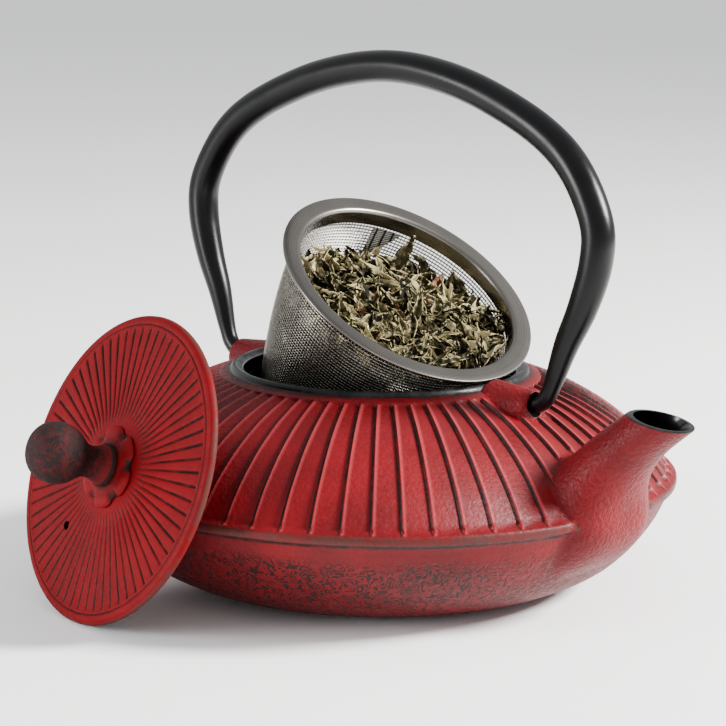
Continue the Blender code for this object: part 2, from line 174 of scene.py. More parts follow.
# the real cloth has about twice as many wires; these are coarser so that they show
WIRE_PITCH = 0.95
HOOP_SHARE, UPRIGHT_SHARE = 1.35, 0.72
FLOOR_PITCH_SHARE = 1.25
SEAM_ANGLE, SEAM_WIDTH = 58.0, 15.5
SEAM_TOP, SEAM_LENGTH = 5.4, 33.0
SEAM_NARROWEST, SEAM_NARROWING, SEAM_SLANT = 0.3, 2.6, 22.0
SEAM_INSET, SEAM_THICKNESS, SEAM_SLANT_TO = 0.9, 0.35, 0.35
FIRST_HOOP, HOOPS_SHORT = 1.2, 1.4
MEAN_BASKET_RADIUS = 31.0
FLOOR_RISE, FLOOR_INSET = 0.9, 1.6

# tea
HEAP_LEVEL, HEAP_SLOPE = -9.5, 10.0
BULGE_HEIGHT, BULGE_CENTRE, BULGE_SPREAD = 3.0, (2.0, -4.0), 500.0
HEAP_ROUGHNESS, HEAP_ROUGH_SCALE = 1.3, 0.16
MOUND_RADIUS, MOUND_SINK, MOUND_ROUGHNESS = 29.0, 1.6, 1.2
MOUND_MIDDLE, MOUND_DEPTH = -14.0, 28.0
LEAF_FORMS = 10
LEAF_LENGTHS, LEAF_WIDTHS, LEAF_THICKNESS = (9.0, 18.0), (1.1, 2.6), 0.16
LEAF_TWISTS, LEAF_CURLS, LEAF_FOLDS = (-2.8, 2.8), (0.3, 1.6), (0.4, 1.5)
LEAF_SPREAD, LEAF_LEVELS, LEAF_SIZES = 29.5, (-1.6, 0.9), (0.7, 1.25)
LEAF_PITCH, LEAF_ROLL = 0.42, 1.3
LEAF_RAGGED, LEAF_CRUMPLE = 0.9, 0.6
STRAYS = 22
DICE_SEED, NOISE_SEED = 11, 7
STRAY_ANGLES, STRAY_DEPTHS, STRAY_SLOPE = (-100.0, -45.0), (7.0, 24.0), 1.4
STANDING_LEAF, STANDING_RISE, STANDING_LEAN = (15.0, 17.0), 4.5, -62.0
INSIDE_SKIRT, INSIDE_WALL = 30.2, 1.4

# stage: metres for the lights, millimetres for the camera
LIGHT_AIM = (0.0, 0.0, 0.05)
LIGHTS = (
    ("key_right", (0.75, 0.55, 0.62), 0.28, 56.0, (1.0, 0.99, 0.97)),
    ("fill_left", (-0.5, -1.0, 0.3), 0.45, 16.0, (1.0, 1.0, 1.0)),
)
CAMERA_PLACE = (438.46, -486.96, 180.04)
CAMERA_HEADING, CAMERA_DIP, CAMERA_ROLL = math.radians(42.0) + 0.00693, 0.18526, 0.01015
CAMERA_LENS = 122.43


def hex_linear(code):
    """An sRGB hex colour as linear RGBA."""
    parts = [int(code[i:i + 2], 16) / 255.0 for i in (0, 2, 4)]
    straight = [c / 12.92 if c <= 0.04045 else ((c + 0.055) / 1.055) ** 2.4 for c in parts]
    return (*straight, 1.0)


def colour_setting(name, code, description):
    return bpy.props.FloatVectorProperty(
        name=name, description=description, subtype="COLOR", size=4, min=0.0, max=1.0,
        default=hex_linear(code),
    )


def length_setting(name, millimetres, description):
    return bpy.props.FloatProperty(
        name=name, description=description, unit="LENGTH", min=0.0, default=millimetres * MM,
    )


class PotSettings(bpy.types.PropertyGroup):
    enamel: colour_setting("Enamel", "64010A", "Red enamel of the outside")
    # dark glaze and marks, also used as painted shade on the dome's step faces and under the flange
    glaze_and_shade_dark: colour_setting("Wiped dark", "120A08", "Dark glaze left in the grooves")
    worn_grey: colour_setting("Worn grey", "40201C", "Where the enamel is rubbed thin")
    collar: colour_setting("Collar", "060606", "Dark enamel of the mouth and spout rims")
    lining: colour_setting("Lining", "050505", "Black glossy enamel of the inside")
    panel_depth: length_setting("Panel depth", 1.0, "How far one edge of each panel sinks")


class BailSettings(bpy.types.PropertyGroup):
    coat: colour_setting("Coat", "020203", "Black powder coat")
    tube_radius: length_setting("Tube radius", 4.35, "Radius of the tube at the grip")


class LidSettings(bpy.types.PropertyGroup):
    # the pot's red painted slightly brighter: painted light on the lid's lit face
    enamel: colour_setting("Enamel", "680109", "Red enamel of the lid")
    knob: colour_setting("Knob", "150C0B", "Dark worn iron of the knob")
    knob_red: colour_setting("Knob red", "4E0D10", "Red left in the knob's engraving")
    groove_depth: length_setting("Groove depth", 0.4, "Depth of the radial grooves")


class InfuserSettings(bpy.types.PropertyGroup):
    steel: colour_setting("Steel", "6E6A65", "Stainless steel of the rim")
    wire: colour_setting("Wire", "9A958D", "Stainless steel wire")
    pitch: length_setting("Wire pitch", WIRE_PITCH, "Distance between neighbouring wires")
    wire_radius: length_setting("Wire radius", 0.2, "Radius of one wire")


class TeaSettings(bpy.types.PropertyGroup):
    # the darkest leaves, and the mound's painted shade in the gaps between them
    dark_leaf_and_gap_shade: colour_setting("Dark leaf", "080704", "The darkest leaves")
    olive_leaf: colour_setting("Olive leaf", "3C3520", "The middle tone of the leaves")
    pale_leaf: colour_setting("Pale leaf", "BDB083", "Cream edges and stems")
    leaves: bpy.props.IntProperty(
        name="Leaves", description="Number of loose leaves", default=600, min=1, max=2000,
    )


class StageSettings(bpy.types.PropertyGroup):
    floor: colour_setting("Floor", "FBFBFA", "Pale matt floor")


def deselect():
    """Back to object mode with nothing selected."""
    if bpy.context.mode != "OBJECT":
        bpy.ops.object.mode_set(mode="OBJECT")
    bpy.ops.object.select_all(action="DESELECT")


def pick(*objects):
    """Selects these objects only, the last one active."""
    deselect()
    for obj in objects:
        obj.select_set(True)
    bpy.context.view_layer.objects.active = objects[-1]


def renamed(name):
    obj = bpy.context.object
    obj.name = obj.data.name = name
    return obj


def draw_line(name, points):
    """A mesh line through points in metres, left in edit mode."""
    deselect()
    bpy.ops.mesh.primitive_plane_add(size=MM, location=(0.0, 0.0, 0.0))
    obj = renamed(name)
    bpy.ops.object.mode_set(mode="EDIT")
    bpy.ops.mesh.merge(type="CENTER")
    bpy.ops.transform.translate(value=points[0])
    for a, b in zip(points, points[1:]):
        bpy.ops.mesh.extrude_region_move(TRANSFORM_OT_translate={"value": b - a})
    return obj


def clean():
    """Merges doubles and turns all faces outwards. Edit mode."""
    bpy.ops.mesh.select_all(action="SELECT")
    bpy.ops.mesh.remove_doubles(threshold=0.002 * MM)
    bpy.ops.mesh.normals_make_consistent(inside=False)


def turn_profile(name, profile, steps, closed=False, degrees=360.0):
    """Spins a profile of (radius, height) about Z."""
    points = [Vector((r, 0.0, z)) * MM for r, z in profile]
    if closed:
        points.append(points[0].copy())
    obj = draw_line(name, points)
    bpy.ops.mesh.select_all(action="SELECT")
    bpy.ops.mesh.spin(
        steps=steps, dupli=False, angle=math.radians(-degrees), center=(0.0, 0.0, 0.0),
        axis=(0.0, 0.0, 1.0),
    )
    clean()
    bpy.ops.object.mode_set(mode="OBJECT")
    return obj


def smooth_line(points, step):
    """Points about one step apart on a curve through the given ones."""
    known = [Vector(p) for p in points]
    ends = [known[0] * 2 - known[1]] + known + [known[-1] * 2 - known[-2]]
    line = []
    for a, b, c, d in zip(ends, ends[1:], ends[2:], ends[3:]):
        count = max(1, round((c - b).length / step))
        for i in range(count):
            t = i / count
            line.append(0.5 * (
                2 * b + (c - a) * t
                + (2 * a - 5 * b + 4 * c - d) * t ** 2
                + (3 * b - a - 3 * c + d) * t ** 3
            ))
    line.append(known[-1])
    return [tuple(p) for p in line]


def loft_rings(name, rings, sides):
    """A closed tube extruded from ellipse to ellipse."""
    deselect()
    bpy.ops.mesh.primitive_circle_add(
        vertices=sides, radius=MM, fill_type="NGON", location=(0.0, 0.0, 0.0),
    )
    obj = renamed(name)
    bpy.ops.object.mode_set(mode="EDIT")
    before = (0.0, 0.0, 1.0, 1.0, 0.0)
    for number, ring in enumerate(rings):
        if number:
            bpy.ops.mesh.extrude_region_move(TRANSFORM_OT_translate={"value": (0, 0, 0)})
        centre = Vector((before[1], 0.0, before[0])) * MM
        bpy.ops.transform.rotate(
            value=math.radians(-before[4]), orient_axis="Y", center_override=centre,
        )
        bpy.ops.transform.resize(
            value=(ring[2] / before[2], ring[3] / before[3], 1.0), center_override=centre,
        )
        bpy.ops.transform.rotate(
            value=math.radians(ring[4]), orient_axis="Y", center_override=centre,
        )
        goal = Vector((ring[1], 0.0, ring[0])) * MM
        bpy.ops.transform.translate(value=goal - centre)
        before = ring
    clean()
    bpy.ops.object.mode_set(mode="OBJECT")
    return obj


def square_up(obj, rings, below, power):
    """Swells the low ellipses of a loft towards rounded rectangles."""
    for height, centre, length, width, _ in rings:
        if height > below:
            continue
        for vertex in obj.data.vertices:
            if abs(vertex.co.z - height * MM) > 0.01 * MM:
                continue
            along = (vertex.co.x / MM - centre) / length
            side = vertex.co.y / MM / width
            along = math.copysign(abs(along) ** (2.0 / power), along)
            side = math.copysign(abs(side) ** (2.0 / power), side)
            vertex.co.x, vertex.co.y = (centre + along * length) * MM, side * width * MM


def modify(obj, kind, **settings):
    """Adds a modifier and applies it."""
    pick(obj)
    modifier = obj.modifiers.new(kind.title(), kind)
    for name, value in settings.items():
        setattr(modifier, name, value)
    bpy.ops.object.modifier_apply(modifier=modifier.name)


def combine(obj, other, operation):
    modify(obj, "BOOLEAN", operation=operation, solver="MANIFOLD", object=other)


def discard(*objects):
    for obj in objects:
        bpy.data.objects.remove(obj)


def surface_of(obj):
    """A tree that answers how far a point is from this object's faces."""
    vertices = [v.co.copy() for v in obj.data.vertices]
    return BVHTree.FromPolygons(vertices, [tuple(p.vertices) for p in obj.data.polygons])


def away(tree, point):
    return tree.find_nearest(point)[3]


def select_vertices(obj, wanted):
    """Edit mode with just the vertices that wanted() accepts."""
    pick(obj)
    bpy.ops.object.mode_set(mode="EDIT")
    bpy.ops.mesh.select_mode(type="VERT")
    bpy.ops.mesh.select_all(action="DESELECT")
    bpy.ops.object.mode_set(mode="OBJECT")
    chosen = [wanted(v.co) for v in obj.data.vertices]
    obj.data.vertices.foreach_set("select", chosen)
    bpy.ops.object.mode_set(mode="EDIT")


def soften(obj, wanted, repeat):
    """Smooths the chosen vertices, which rounds a seam."""
    select_vertices(obj, wanted)
    bpy.ops.mesh.vertices_smooth(factor=0.5, repeat=repeat)
    bpy.ops.object.mode_set(mode="OBJECT")


def place_for(centre, tilt, azimuth):
    """The matrix that stands an upright part in its leaning place."""
    turn = Matrix.Rotation(math.radians(azimuth - 90.0), 4, "Z")
    lean = Matrix.Rotation(math.radians(-tilt), 4, "X")
    flip = Matrix.Rotation(math.pi, 4, "Z")
    return Matrix.Translation(Vector(centre) * MM) @ turn @ lean @ flip


LID_PLACE = place_for(LID_CENTRE, LID_TILT, LID_AZIMUTH)
INFUSER_PLACE = place_for(INFUSER_CENTRE, INFUSER_TILT, INFUSER_AZIMUTH)


def settle(obj, matrix=None):
    """Moves a finished mesh to its place and leaves its object at the origin."""
    pick(obj)
    if matrix is not None:
        obj.matrix_world = matrix
    bpy.ops.object.transform_apply(location=True, rotation=True, scale=True)


def finish_piece(obj, body, materials, replaced=(), angle=40.0):
    """Smooth shading, materials and the piece's place among the moving bodies."""
    pick(obj)
    bpy.ops.object.shade_smooth_by_angle(angle=math.radians(angle))
    obj.data.materials.clear()
    for material in materials:
        obj.data.materials.append(material)
    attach(obj, body)
    if replaced:
        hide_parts(*replaced)
    return obj


def feed(tree, node, inputs):
    """Links or sets a node's inputs."""
    for key, value in inputs.items():
        if isinstance(value, bpy.types.NodeSocket):
            tree.links.new(value, node.inputs[key])
        else:
            node.inputs[key].default_value = value


def add_node(tree, kind, inputs, **settings):
    """A node with its settings, values and links."""
    made = tree.nodes.new(kind)
    for name, value in settings.items():
        setattr(made, name, value)
    feed(tree, made, inputs)
    return made


def new_material(name, matrix=None):
    """A new material's tree and shader, and where a point is on the upright part."""
    material = bpy.data.materials.new(name)
    material.use_nodes = True
    tree = material.node_tree
    place = add_node(tree, "ShaderNodeTexCoord", {}).outputs["Object"]
    if matrix is not None:
        place = add_node(
            tree, "ShaderNodeMapping",
            {"Vector": place, "Location": matrix.translation, "Rotation": matrix.to_euler()},
            vector_type="TEXTURE",
        ).outputs["Vector"]
    return material, tree, tree.nodes["Principled BSDF"], place


def maths(tree, operation, *values):
    """The result of one sum."""
    return add_node(
        tree, "ShaderNodeMath", dict(enumerate(values)), operation=operation,
    ).outputs[0]


def polar(tree, place):
    """Sockets for x, y, z, the distance from the axis and the turn about it."""
    split = add_node(tree, "ShaderNodeSeparateXYZ", {0: place}).outputs
    flat = add_node(
        tree, "ShaderNodeVectorMath", {0: place, 1: (1.0, 1.0, 0.0)}, operation="MULTIPLY",
    ).outputs[0]
    radius = add_node(tree, "ShaderNodeVectorMath", {0: flat}, operation="LENGTH").outputs["Value"]
    return split, radius, maths(tree, "ARCTAN2", split[1], split[0])


def blend_by(tree, factor, first, second):
    """A colour that goes from first to second with the factor."""
    return add_node(
        tree, "ShaderNodeMix", {"Factor": factor, 6: first, 7: second}, data_type="RGBA",
    ).outputs[2]


def ramp(tree, value, low, high, start=0.0, end=1.0):
    """A smooth step of the value from low to high."""
    return add_node(
        tree, "ShaderNodeMapRange",
        {"Value": value, "From Min": low, "From Max": high, "To Min": start, "To Max": end},
        interpolation_type="SMOOTHSTEP",
    ).outputs["Result"]


def rise(tree, length, low, high, start=0.0, end=1.0):
    """A smooth step between two lengths in millimetres."""
    return ramp(tree, length, low * MM, high * MM, start, end)


def fall(tree, length, low, high):
    return rise(tree, length, low, high, 1.0, 0.0)


def product(tree, *factors):
    total = factors[0]
    for factor in factors[1:]:
        total = maths(tree, "MULTIPLY", total, factor)
    return total


def speckle(tree, place, scale, detail=3.0, roughness=0.6, distortion=0.0):
    return add_node(
        tree, "ShaderNodeTexNoise",
        {
            "Vector": place, "Scale": scale, "Detail": detail, "Roughness": roughness,
            "Distortion": distortion,
        },
    ).outputs["Fac"]


def relief(tree, height, strength, depth):
    """The normal of a fine relief, its depth in millimetres."""
    return add_node(
        tree, "ShaderNodeBump", {"Height": height, "Strength": strength, "Distance": depth * MM},
    ).outputs[0]


def sawtooth(tree, turn, count, phase):
    """How far round its own panel a point is, from 0 to 1."""
    per_turn = count / FULL_TURN
    return maths(
        tree, "FRACT",
        maths(tree, "MULTIPLY_ADD", turn, per_turn, -math.radians(phase) * per_turn),
    )


def off_middle(tree, share):
    """How far a share is from a half."""
    return maths(tree, "ABSOLUTE", maths(tree, "SUBTRACT", share, 0.5))


def deeper(colour, share):
    return (*(c * share for c in colour[:3]), 1.0)


def mottled(tree, place, red, share, scale, low):
    """A red coat that is deeper where it lies thick."""
    cloud = ramp(tree, speckle(tree, place, scale, 4.0), low, 0.7)
    return blend_by(tree, cloud, deeper(red, share), red)


def cast_grain(tree, shader, place, coat, height, strength, depth):
    """Satin shine broken by the grain of the casting."""
    grit = speckle(tree, place, 1100.0, 2.0)
    total = maths(tree, "MULTIPLY_ADD", grit, 0.35, height)
    feed(tree, shader, {
        "Base Color": coat, "Roughness": ramp(tree, grit, 0.3, 0.7, 0.4, 0.58),
        "Specular IOR Level": 0.17, "Normal": relief(tree, total, strength, depth),
    })


# Plain enamel over coarse cast iron: a lumpy grain that shows in raking light.
def red_grained_enamel(settings):
    material, tree, shader, place = new_material("red_enamel_over_coarse_cast_grain")
    lumps = speckle(tree, place, 850.0, 2.0)
    coat = mottled(tree, place, settings.enamel, 0.66, 55.0, 0.35)
    coat = blend_by(tree, ramp(tree, lumps, 0.42, 0.25, 0.0, 0.35), coat, settings.glaze_and_shade_dark)
    cast_grain(tree, shader, place, coat, lumps, 0.9, 0.55)
    return material


def panel_tones(tree, settings, coat, rubbed, spot):
    """Dark glaze with painted shade in the grooves of the dome, and a painted highlight on the
    crests beside them.
    """
    (_, _, z), radius, turn = spot
    share = sawtooth(tree, turn, PANELS, PANEL_PHASE - 0.25)
    across = product(tree, share, radius, FULL_TURN / PANELS)
    on_dome = product(tree, rise(tree, radius, 43.3, 43.8), rise(tree, z, 29.6, 30.0))
    # the dark line on each step face: dark glaze, partly painted shade
    groove_glaze_and_shade = product(tree, fall(tree, across, 0.55, 0.85), on_dome, rubbed)
    # a lighter, pinker copy of the enamel along the panels' raised crests: a painted highlight
    crest_highlight = product(tree, rise(tree, across, 0.7, 0.9), fall(tree, across, 1.1, 2.0), on_dome)
    highlight_pink = (*(min(1.0, c * 2.2 + 0.03) for c in settings.enamel[:3]), 1.0)
    coat = blend_by(tree, product(tree, crest_highlight, 0.6), coat, highlight_pink)
    return blend_by(tree, product(tree, groove_glaze_and_shade, 0.95), coat, settings.glaze_and_shade_dark)


def edge_tones(tree, settings, coat, rubbed, spot, place):
    """The flange worn to grey, painted shade under its overhang, and dark glaze by the collar."""
    (_, _, z), radius, _ = spot
    on_flange = product(
        tree, rise(tree, radius, 79.0, 79.6), rise(tree, z, 27.2, 27.7), fall(tree, z, 29.3, 29.8),
    )
    worn = ramp(tree, speckle(tree, place, 180.0, 4.0), 0.3, 0.65, 0.35, 0.95)
    coat = blend_by(tree, product(tree, on_flange, worn), coat, settings.worn_grey)
    # painted shade on the bowl and the lip's underside beneath the overhanging flange
    under = product(
        tree, rise(tree, z, 25.9, 26.4), fall(tree, z, 27.2, 27.6),
        rise(tree, radius, 77.5, 78.2), rubbed,
    )
    coat = blend_by(tree, under, coat, settings.glaze_and_shade_dark)
    by_collar = product(
        tree, rise(tree, radius, 40.8, 42.8, 0.85, 0.0), rise(tree, z, 54.2, 54.8), rubbed,
    )
    return blend_by(tree, by_collar, coat, settings.glaze_and_shade_dark)


def short_strokes(tree, place):
    """Short curled strokes, cut from the contour lines of a soft noise."""
    curl = speckle(tree, place, 380.0, 0.0, 0.5, 0.4)
    levels = off_middle(tree, maths(tree, "FRACT", maths(tree, "MULTIPLY", curl, 5.0)))
    lines = ramp(tree, levels, 0.15, 0.28, 1.0, 0.0)
    return product(tree, lines, ramp(tree, speckle(tree, place, 560.0, 0.0), 0.38, 0.45))


# Enamelled cast iron: a red coat over a cast skin with a dark glaze wiped off
# it, so the dark stays in the grooves and the grain shows where light rakes.
# The dome's step faces also carry painted shade, and its crests a painted highlight.
def red_cast_enamel(settings):
    material, tree, shader, place = new_material("red_enamel_wiped_over_cast_iron")
    spot = polar(tree, place)
    x, _, z = spot[0]
    rubbed = ramp(tree, speckle(tree, place, 260.0), 0.3, 0.62, 0.45, 1.0)
    coat = mottled(tree, place, settings.enamel, 0.66, 55.0, 0.35)
    coat = panel_tones(tree, settings, coat, rubbed, spot)
    coat = edge_tones(tree, settings, coat, rubbed, spot, place)
    low_band = product(
        tree, fall(tree, z, 19.5, 23.5), rise(tree, z, 1.0, 9.0, 0.35),
        rise(tree, x, 60.0, 76.0, 1.0, 0.3),
    )
    marks = product(tree, short_strokes(tree, place), low_band)
    coat = blend_by(tree, product(tree, marks, 0.92), coat, settings.glaze_and_shade_dark)
    dust = ramp(tree, speckle(tree, place, 30.0, 5.0), 0.4, 0.75)
    coat = blend_by(tree, product(tree, low_band, dust, 0.4), coat, settings.glaze_and_shade_dark)
    lumps = speckle(tree, place, 420.0, 2.0)
    lumps = product(tree, lumps, rise(tree, z, 19.5, 23.5, 1.3, 0.45))
    height = maths(tree, "MULTIPLY_ADD", marks, -1.2, lumps)
    cast_grain(tree, shader, place, coat, height, 0.6, 0.45)
    return material


# Dark enamel on a rim, rubbed to grey where lids and hands touch it.
def worn_dark_enamel(settings):
    material, tree, shader, place = new_material("worn_dark_rim_enamel")
    rub = ramp(tree, speckle(tree, place, 240.0, 4.0), 0.42, 0.68)
    feed(tree, shader, {
        "Base Color": blend_by(
            tree, product(tree, rub, 0.3), settings.collar, hex_linear("2E2B28"),
        ),
        "Roughness": ramp(tree, rub, 0.0, 1.0, 0.34, 0.52), "Specular IOR Level": 0.2,
        "Normal": relief(tree, speckle(tree, place, 700.0), 0.3, 0.2),
    })
    return material


# Glassy black enamel: smooth, so it mirrors the light in soft patches.
def black_lining_enamel(settings):
    material, tree, shader, place = new_material("black_glossy_enamel_lining")
    cloud = speckle(tree, place, 60.0)
    feed(tree, shader, {
        "Base Color": blend_by(tree, cloud, settings.lining, hex_linear("171717")),
        "Roughness": ramp(tree, cloud, 0.3, 0.7, 0.16, 0.3),
        "Normal": relief(tree, speckle(tree, place, 240.0), 0.25, 0.3),
    })
    return material


def dome_height(radius, line):
    """Height and slope of an outline at a radius, in millimetres."""
    for (r0, z0), (r1, z1) in zip(line, line[1:]):
        if r1 <= radius <= r0:
            share = (r0 - radius) / (r0 - r1)
            return z0 + (z1 - z0) * share, Vector((z1 - z0, r0 - r1)).normalized()
    return None, None


def press_panels(obj, dome, depth):
    """Tips each panel of the dome, so one edge stands over its neighbour."""
    half_column = 0.5 / COLUMNS_PER_PANEL
    for vertex in obj.data.vertices:
        x, y, z = vertex.co
        radius = math.hypot(x, y)
        height, outward = dome_height(radius / MM, dome)
        if height is None or abs(z / MM - height) > ON_LINE:
            continue
        turns = (math.degrees(math.atan2(y, x)) - PANEL_PHASE) * PANELS / 360.0
        share = turns - math.floor(turns + TURN_SLACK)
        sunk = share if share > half_column else 1.0
        push = -depth * max(0.0, sunk - half_column)
        vertex.co.x += push * outward.x * x / radius
        vertex.co.y += push * outward.x * y / radius
        vertex.co.z += push * outward.y


def joined(objects):
    pick(*objects)
    bpy.ops.object.join()
    return bpy.context.object


def make_lugs():
    """Two rounded bosses that carry the bail's pins."""
    lugs = []
    length = LUG_TO - LUG_FROM
    for side in (1, -1):
        deselect()
        bpy.ops.mesh.primitive_cylinder_add(
            vertices=56, radius=LUG_RADIUS * MM, depth=length * MM,
            location=(side * (LUG_FROM + length / 2) * MM, 0.0, LUG_CENTRE * MM),
            rotation=(0.0, math.pi / 2, 0.0),
        )
        lug = renamed("lug")
        settle(lug)
        select_vertices(lug, lambda co: abs(co.x) > (LUG_TO - 1.0) * MM)
        bpy.ops.transform.resize(
            value=(1.0, LUG_TAPER, LUG_TAPER), center_override=(0, 0, LUG_TAPER_CENTRE * MM),
        )
        bpy.ops.mesh.bevel(offset=LUG_ROUNDING * MM, segments=4, affect="EDGES")
        bpy.ops.object.mode_set(mode="OBJECT")
        lugs.append(lug)
    return joined(lugs)


def make_pin_holes():
    """Holes for the pins, wider at the mouth for the bent tube."""
    holes = []
    for side in (1, -1):
        deselect()
        bpy.ops.mesh.primitive_cone_add(
            vertices=40, radius1=HOLE_RADII[0] * MM, radius2=HOLE_RADII[1] * MM,
            depth=HOLE_DEPTH * MM, location=(side * HOLE_CENTRE * MM, 0.0, PIVOT * MM),
            rotation=(0.0, side * math.pi / 2, 0.0),
        )
        hole = renamed("pin_hole")
        settle(hole)
        holes.append(hole)
    return joined(holes)


def colour_pot(pot, hollows, skin):
    """Gives the lining, the worn rims and the plain enamel their own slots."""
    lip = Vector((LIP_PLACE[0], 0.0, LIP_PLACE[1])) * MM
    lean = math.radians(LIP_TILT)
    up = Vector((-math.sin(lean), 0.0, math.cos(lean)))
    for face in pot.data.polygons:
        centre = face.center
        radius = math.hypot(centre.x, centre.y)
        from_lip = centre - lip
        in_mouth = radius < MOUTH_RADIUS * MM and centre.z > MOUTH_FROM * MM
        if in_mouth or min(away(hollow, centre) for hollow in hollows) < TOUCHING * MM:
            face.material_index = 2
        elif radius < COLLAR_RADIUS * MM and centre.z > COLLAR_FROM * MM:
            face.material_index = 1
        elif from_lip.length < LIP_REACH * MM and from_lip.dot(up) > -LIP_DEPTH * MM:
            face.material_index = 1
        elif away(skin, centre) > OFF_SKIN * MM:
            face.material_index = 3


class TEAPOT_OT_pot(bpy.types.Operator):
    """Turn the ribbed pot and join its spout and lugs to it"""

    bl_idname = "teapot.pot"
    bl_label = "Pot body"

    def execute(self, context):
        settings = context.scene.teapot_pot
        pot = self.shell(settings)
        skin = surface_of(pot)
        self.join_on(pot, skin)
        cavity = turn_profile("cavity", CAVITY_LINE, 120)
        bore = loft_rings("bore", BORE_RINGS, 24)
        modify(bore, "SUBSURF", levels=2, render_levels=2)
        cutters = (cavity, bore, make_pin_holes())
        hollows = [surface_of(cutter) for cutter in cutters]
        for cutter in cutters:
            combine(pot, cutter, "DIFFERENCE")
        discard(*cutters)
        coats = [
            red_cast_enamel(settings), worn_dark_enamel(settings),
            black_lining_enamel(settings), red_grained_enamel(settings),
        ]
        finish_piece(pot, "pot", coats, ["pot_body"])
        colour_pot(pot, hollows, skin)
        return {"FINISHED"}

    def shell(self, settings):
        """The closed outside of the pot, with its panels."""
        dome = smooth_line(DOME_LINE, 1.3)
        profile = list(FOOT_LINE) + smooth_line(BOWL_LINE, 2.2)[1:] + list(FLANGE_LINE)
        profile += dome + list(RING_LINE) + list(COLLAR_LINE) + [(0.0, COLLAR_LINE[-1][1])]
        pot = turn_profile("pot_body_enamelled", profile, PANELS * COLUMNS_PER_PANEL)
        pot.data.transform(Matrix.Rotation(math.radians(PANEL_PHASE), 4, "Z"))
        press_panels(pot, dome, settings.panel_depth)
        return pot

    def join_on(self, pot, skin):
        """Joins the spout and the lugs and rounds the seams."""
        spout = loft_rings("spout", SPOUT_RINGS, 28)
        square_up(spout, SPOUT_RINGS, SPOUT_SQUARE_TO, SPOUT_SQUARENESS)
        modify(spout, "SUBSURF", levels=2, render_levels=2)
        lugs = make_lugs()
        spout_skin, lug_skin = surface_of(spout), surface_of(lugs)
        combine(pot, spout, "UNION")
        combine(pot, lugs, "UNION")
        discard(spout, lugs)
        soften(
            pot, lambda co: co.x > 50.0 * MM and co.z < 50.0 * MM
            and away(spout_skin, co) < SPOUT_SEAM * MM and away(skin, co) < SPOUT_SEAM * MM, 10,
        )
        soften(
            pot, lambda co: away(lug_skin, co) < LUG_SEAM * MM and away(skin, co) < LUG_SEAM * MM
            and math.hypot(co.x, co.y) > LUG_SEAM_FROM * MM, 8,
        )


# Powder coat on steel tube: near black, satin, with a very fine orange peel.
def satin_powder_coat(settings):
    material, tree, shader, place = new_material("black_satin_powder_coat")
    cloud = speckle(tree, place, 70.0, 4.0)
    feed(tree, shader, {
        "Base Color": blend_by(tree, cloud, settings.coat, hex_linear("070708")),
        "Roughness": ramp(tree, cloud, 0.3, 0.7, 0.26, 0.36), "Specular IOR Level": 0.17,
        "Normal": relief(tree, speckle(tree, place, 900.0), 0.12, 0.15),
    })
    return material


class TEAPOT_OT_bail(bpy.types.Operator):
    """Bend the bail from one tube that thins down to its pins"""

    bl_idname = "teapot.bail"
    bl_label = "Bail handle"

    def execute(self, context):
        settings = context.scene.teapot_bail
        mirrored = [(-x, z) for x, z in BAIL_ROUTE[:0:-1]]
        route = smooth_line(mirrored + list(BAIL_ROUTE), 1.6)
        bail = draw_line("bail_tube", [Vector((x, 0.0, z)) * MM for x, z in route])
        bpy.ops.object.mode_set(mode="OBJECT")
        bpy.ops.object.convert(target="CURVE")
        curve = bail.data
        curve.dimensions = "3D"
        curve.bevel_depth = MM
        curve.bevel_resolution = 7
        curve.use_fill_caps = True
        full = settings.tube_radius / MM
        for point in curve.splines[0].points:
            share = (point.co.z / MM - BAIL_THIN_UP_TO) / BAIL_TAPER
            swell = math.sin(min(max(share, 0.0), 1.0) * math.pi / 2)
            point.radius = PIN_RADIUS + (full - PIN_RADIUS) * swell
        bpy.ops.object.convert(target="MESH")
        lean = Matrix.Rotation(math.radians(-BAIL_LEAN), 4, "X")
        settle(bail, Matrix.Translation((0.0, 0.0, PIVOT * MM)) @ lean)
        coats = [satin_powder_coat(settings)]
        finish_piece(bail, "bail", coats, ["bail_handle"])
        return {"FINISHED"}


def lid_cuts(tree, coat, rubbed, radius, turn, top):
    """Dark glaze in the lid's radial grooves and in the ring round them."""
    share = sawtooth(tree, turn, LID_GROOVES, LID_PHASE - 180.0 / LID_GROOVES)
    across = product(tree, off_middle(tree, share), radius, FULL_TURN / LID_GROOVES)
    across = maths(tree, "DIVIDE", across, rise(tree, radius, 14.0, 36.0, 0.55))
    reach = product(tree, rise(tree, radius, 10.5, 14.5), fall(tree, radius, 36.2, 36.6))
    cut = product(tree, fall(tree, across, 0.28, 0.5), reach, top, rubbed)
    coat = blend_by(tree, product(tree, cut, 0.97), coat, hex_linear("120604"))
    ring = product(
        tree, rise(tree, radius, 37.2, 37.4), fall(tree, radius, 37.7, 37.9), top, rubbed,
    )
    return blend_by(tree, product(tree, ring, 0.85), coat, hex_linear("2A0C0A"))


# The lid's enamel is the pot's, painted slightly brighter as light on the lid's lit face, with dark
# glaze left in fine cuts.
def red_lid_enamel(settings):
    material, tree, shader, place = new_material("red_enamel_wiped_lid", LID_PLACE)
    (_, _, z), radius, turn = polar(tree, place)
    grit = speckle(tree, place, 1300.0, 2.0)
    rubbed = ramp(tree, speckle(tree, place, 300.0), 0.28, 0.6, 0.45, 1.0)
    coat = mottled(tree, place, settings.enamel, 0.75, 60.0, 0.3)
    coat = lid_cuts(tree, coat, rubbed, radius, turn, rise(tree, z, 0.3, 0.5))
    edge = product(
        tree, rise(tree, radius, 39.5, 39.95),
        ramp(tree, speckle(tree, place, 90.0, 4.0), 0.35, 0.6), 0.75,
    )
    feed(tree, shader, {
        "Base Color": blend_by(tree, edge, coat, hex_linear("3A2A26")),
        "Roughness": ramp(tree, grit, 0.3, 0.7, 0.5, 0.66), "Specular IOR Level": 0.08,
        "Normal": relief(tree, grit, 0.3, 0.25),
    })
    return material


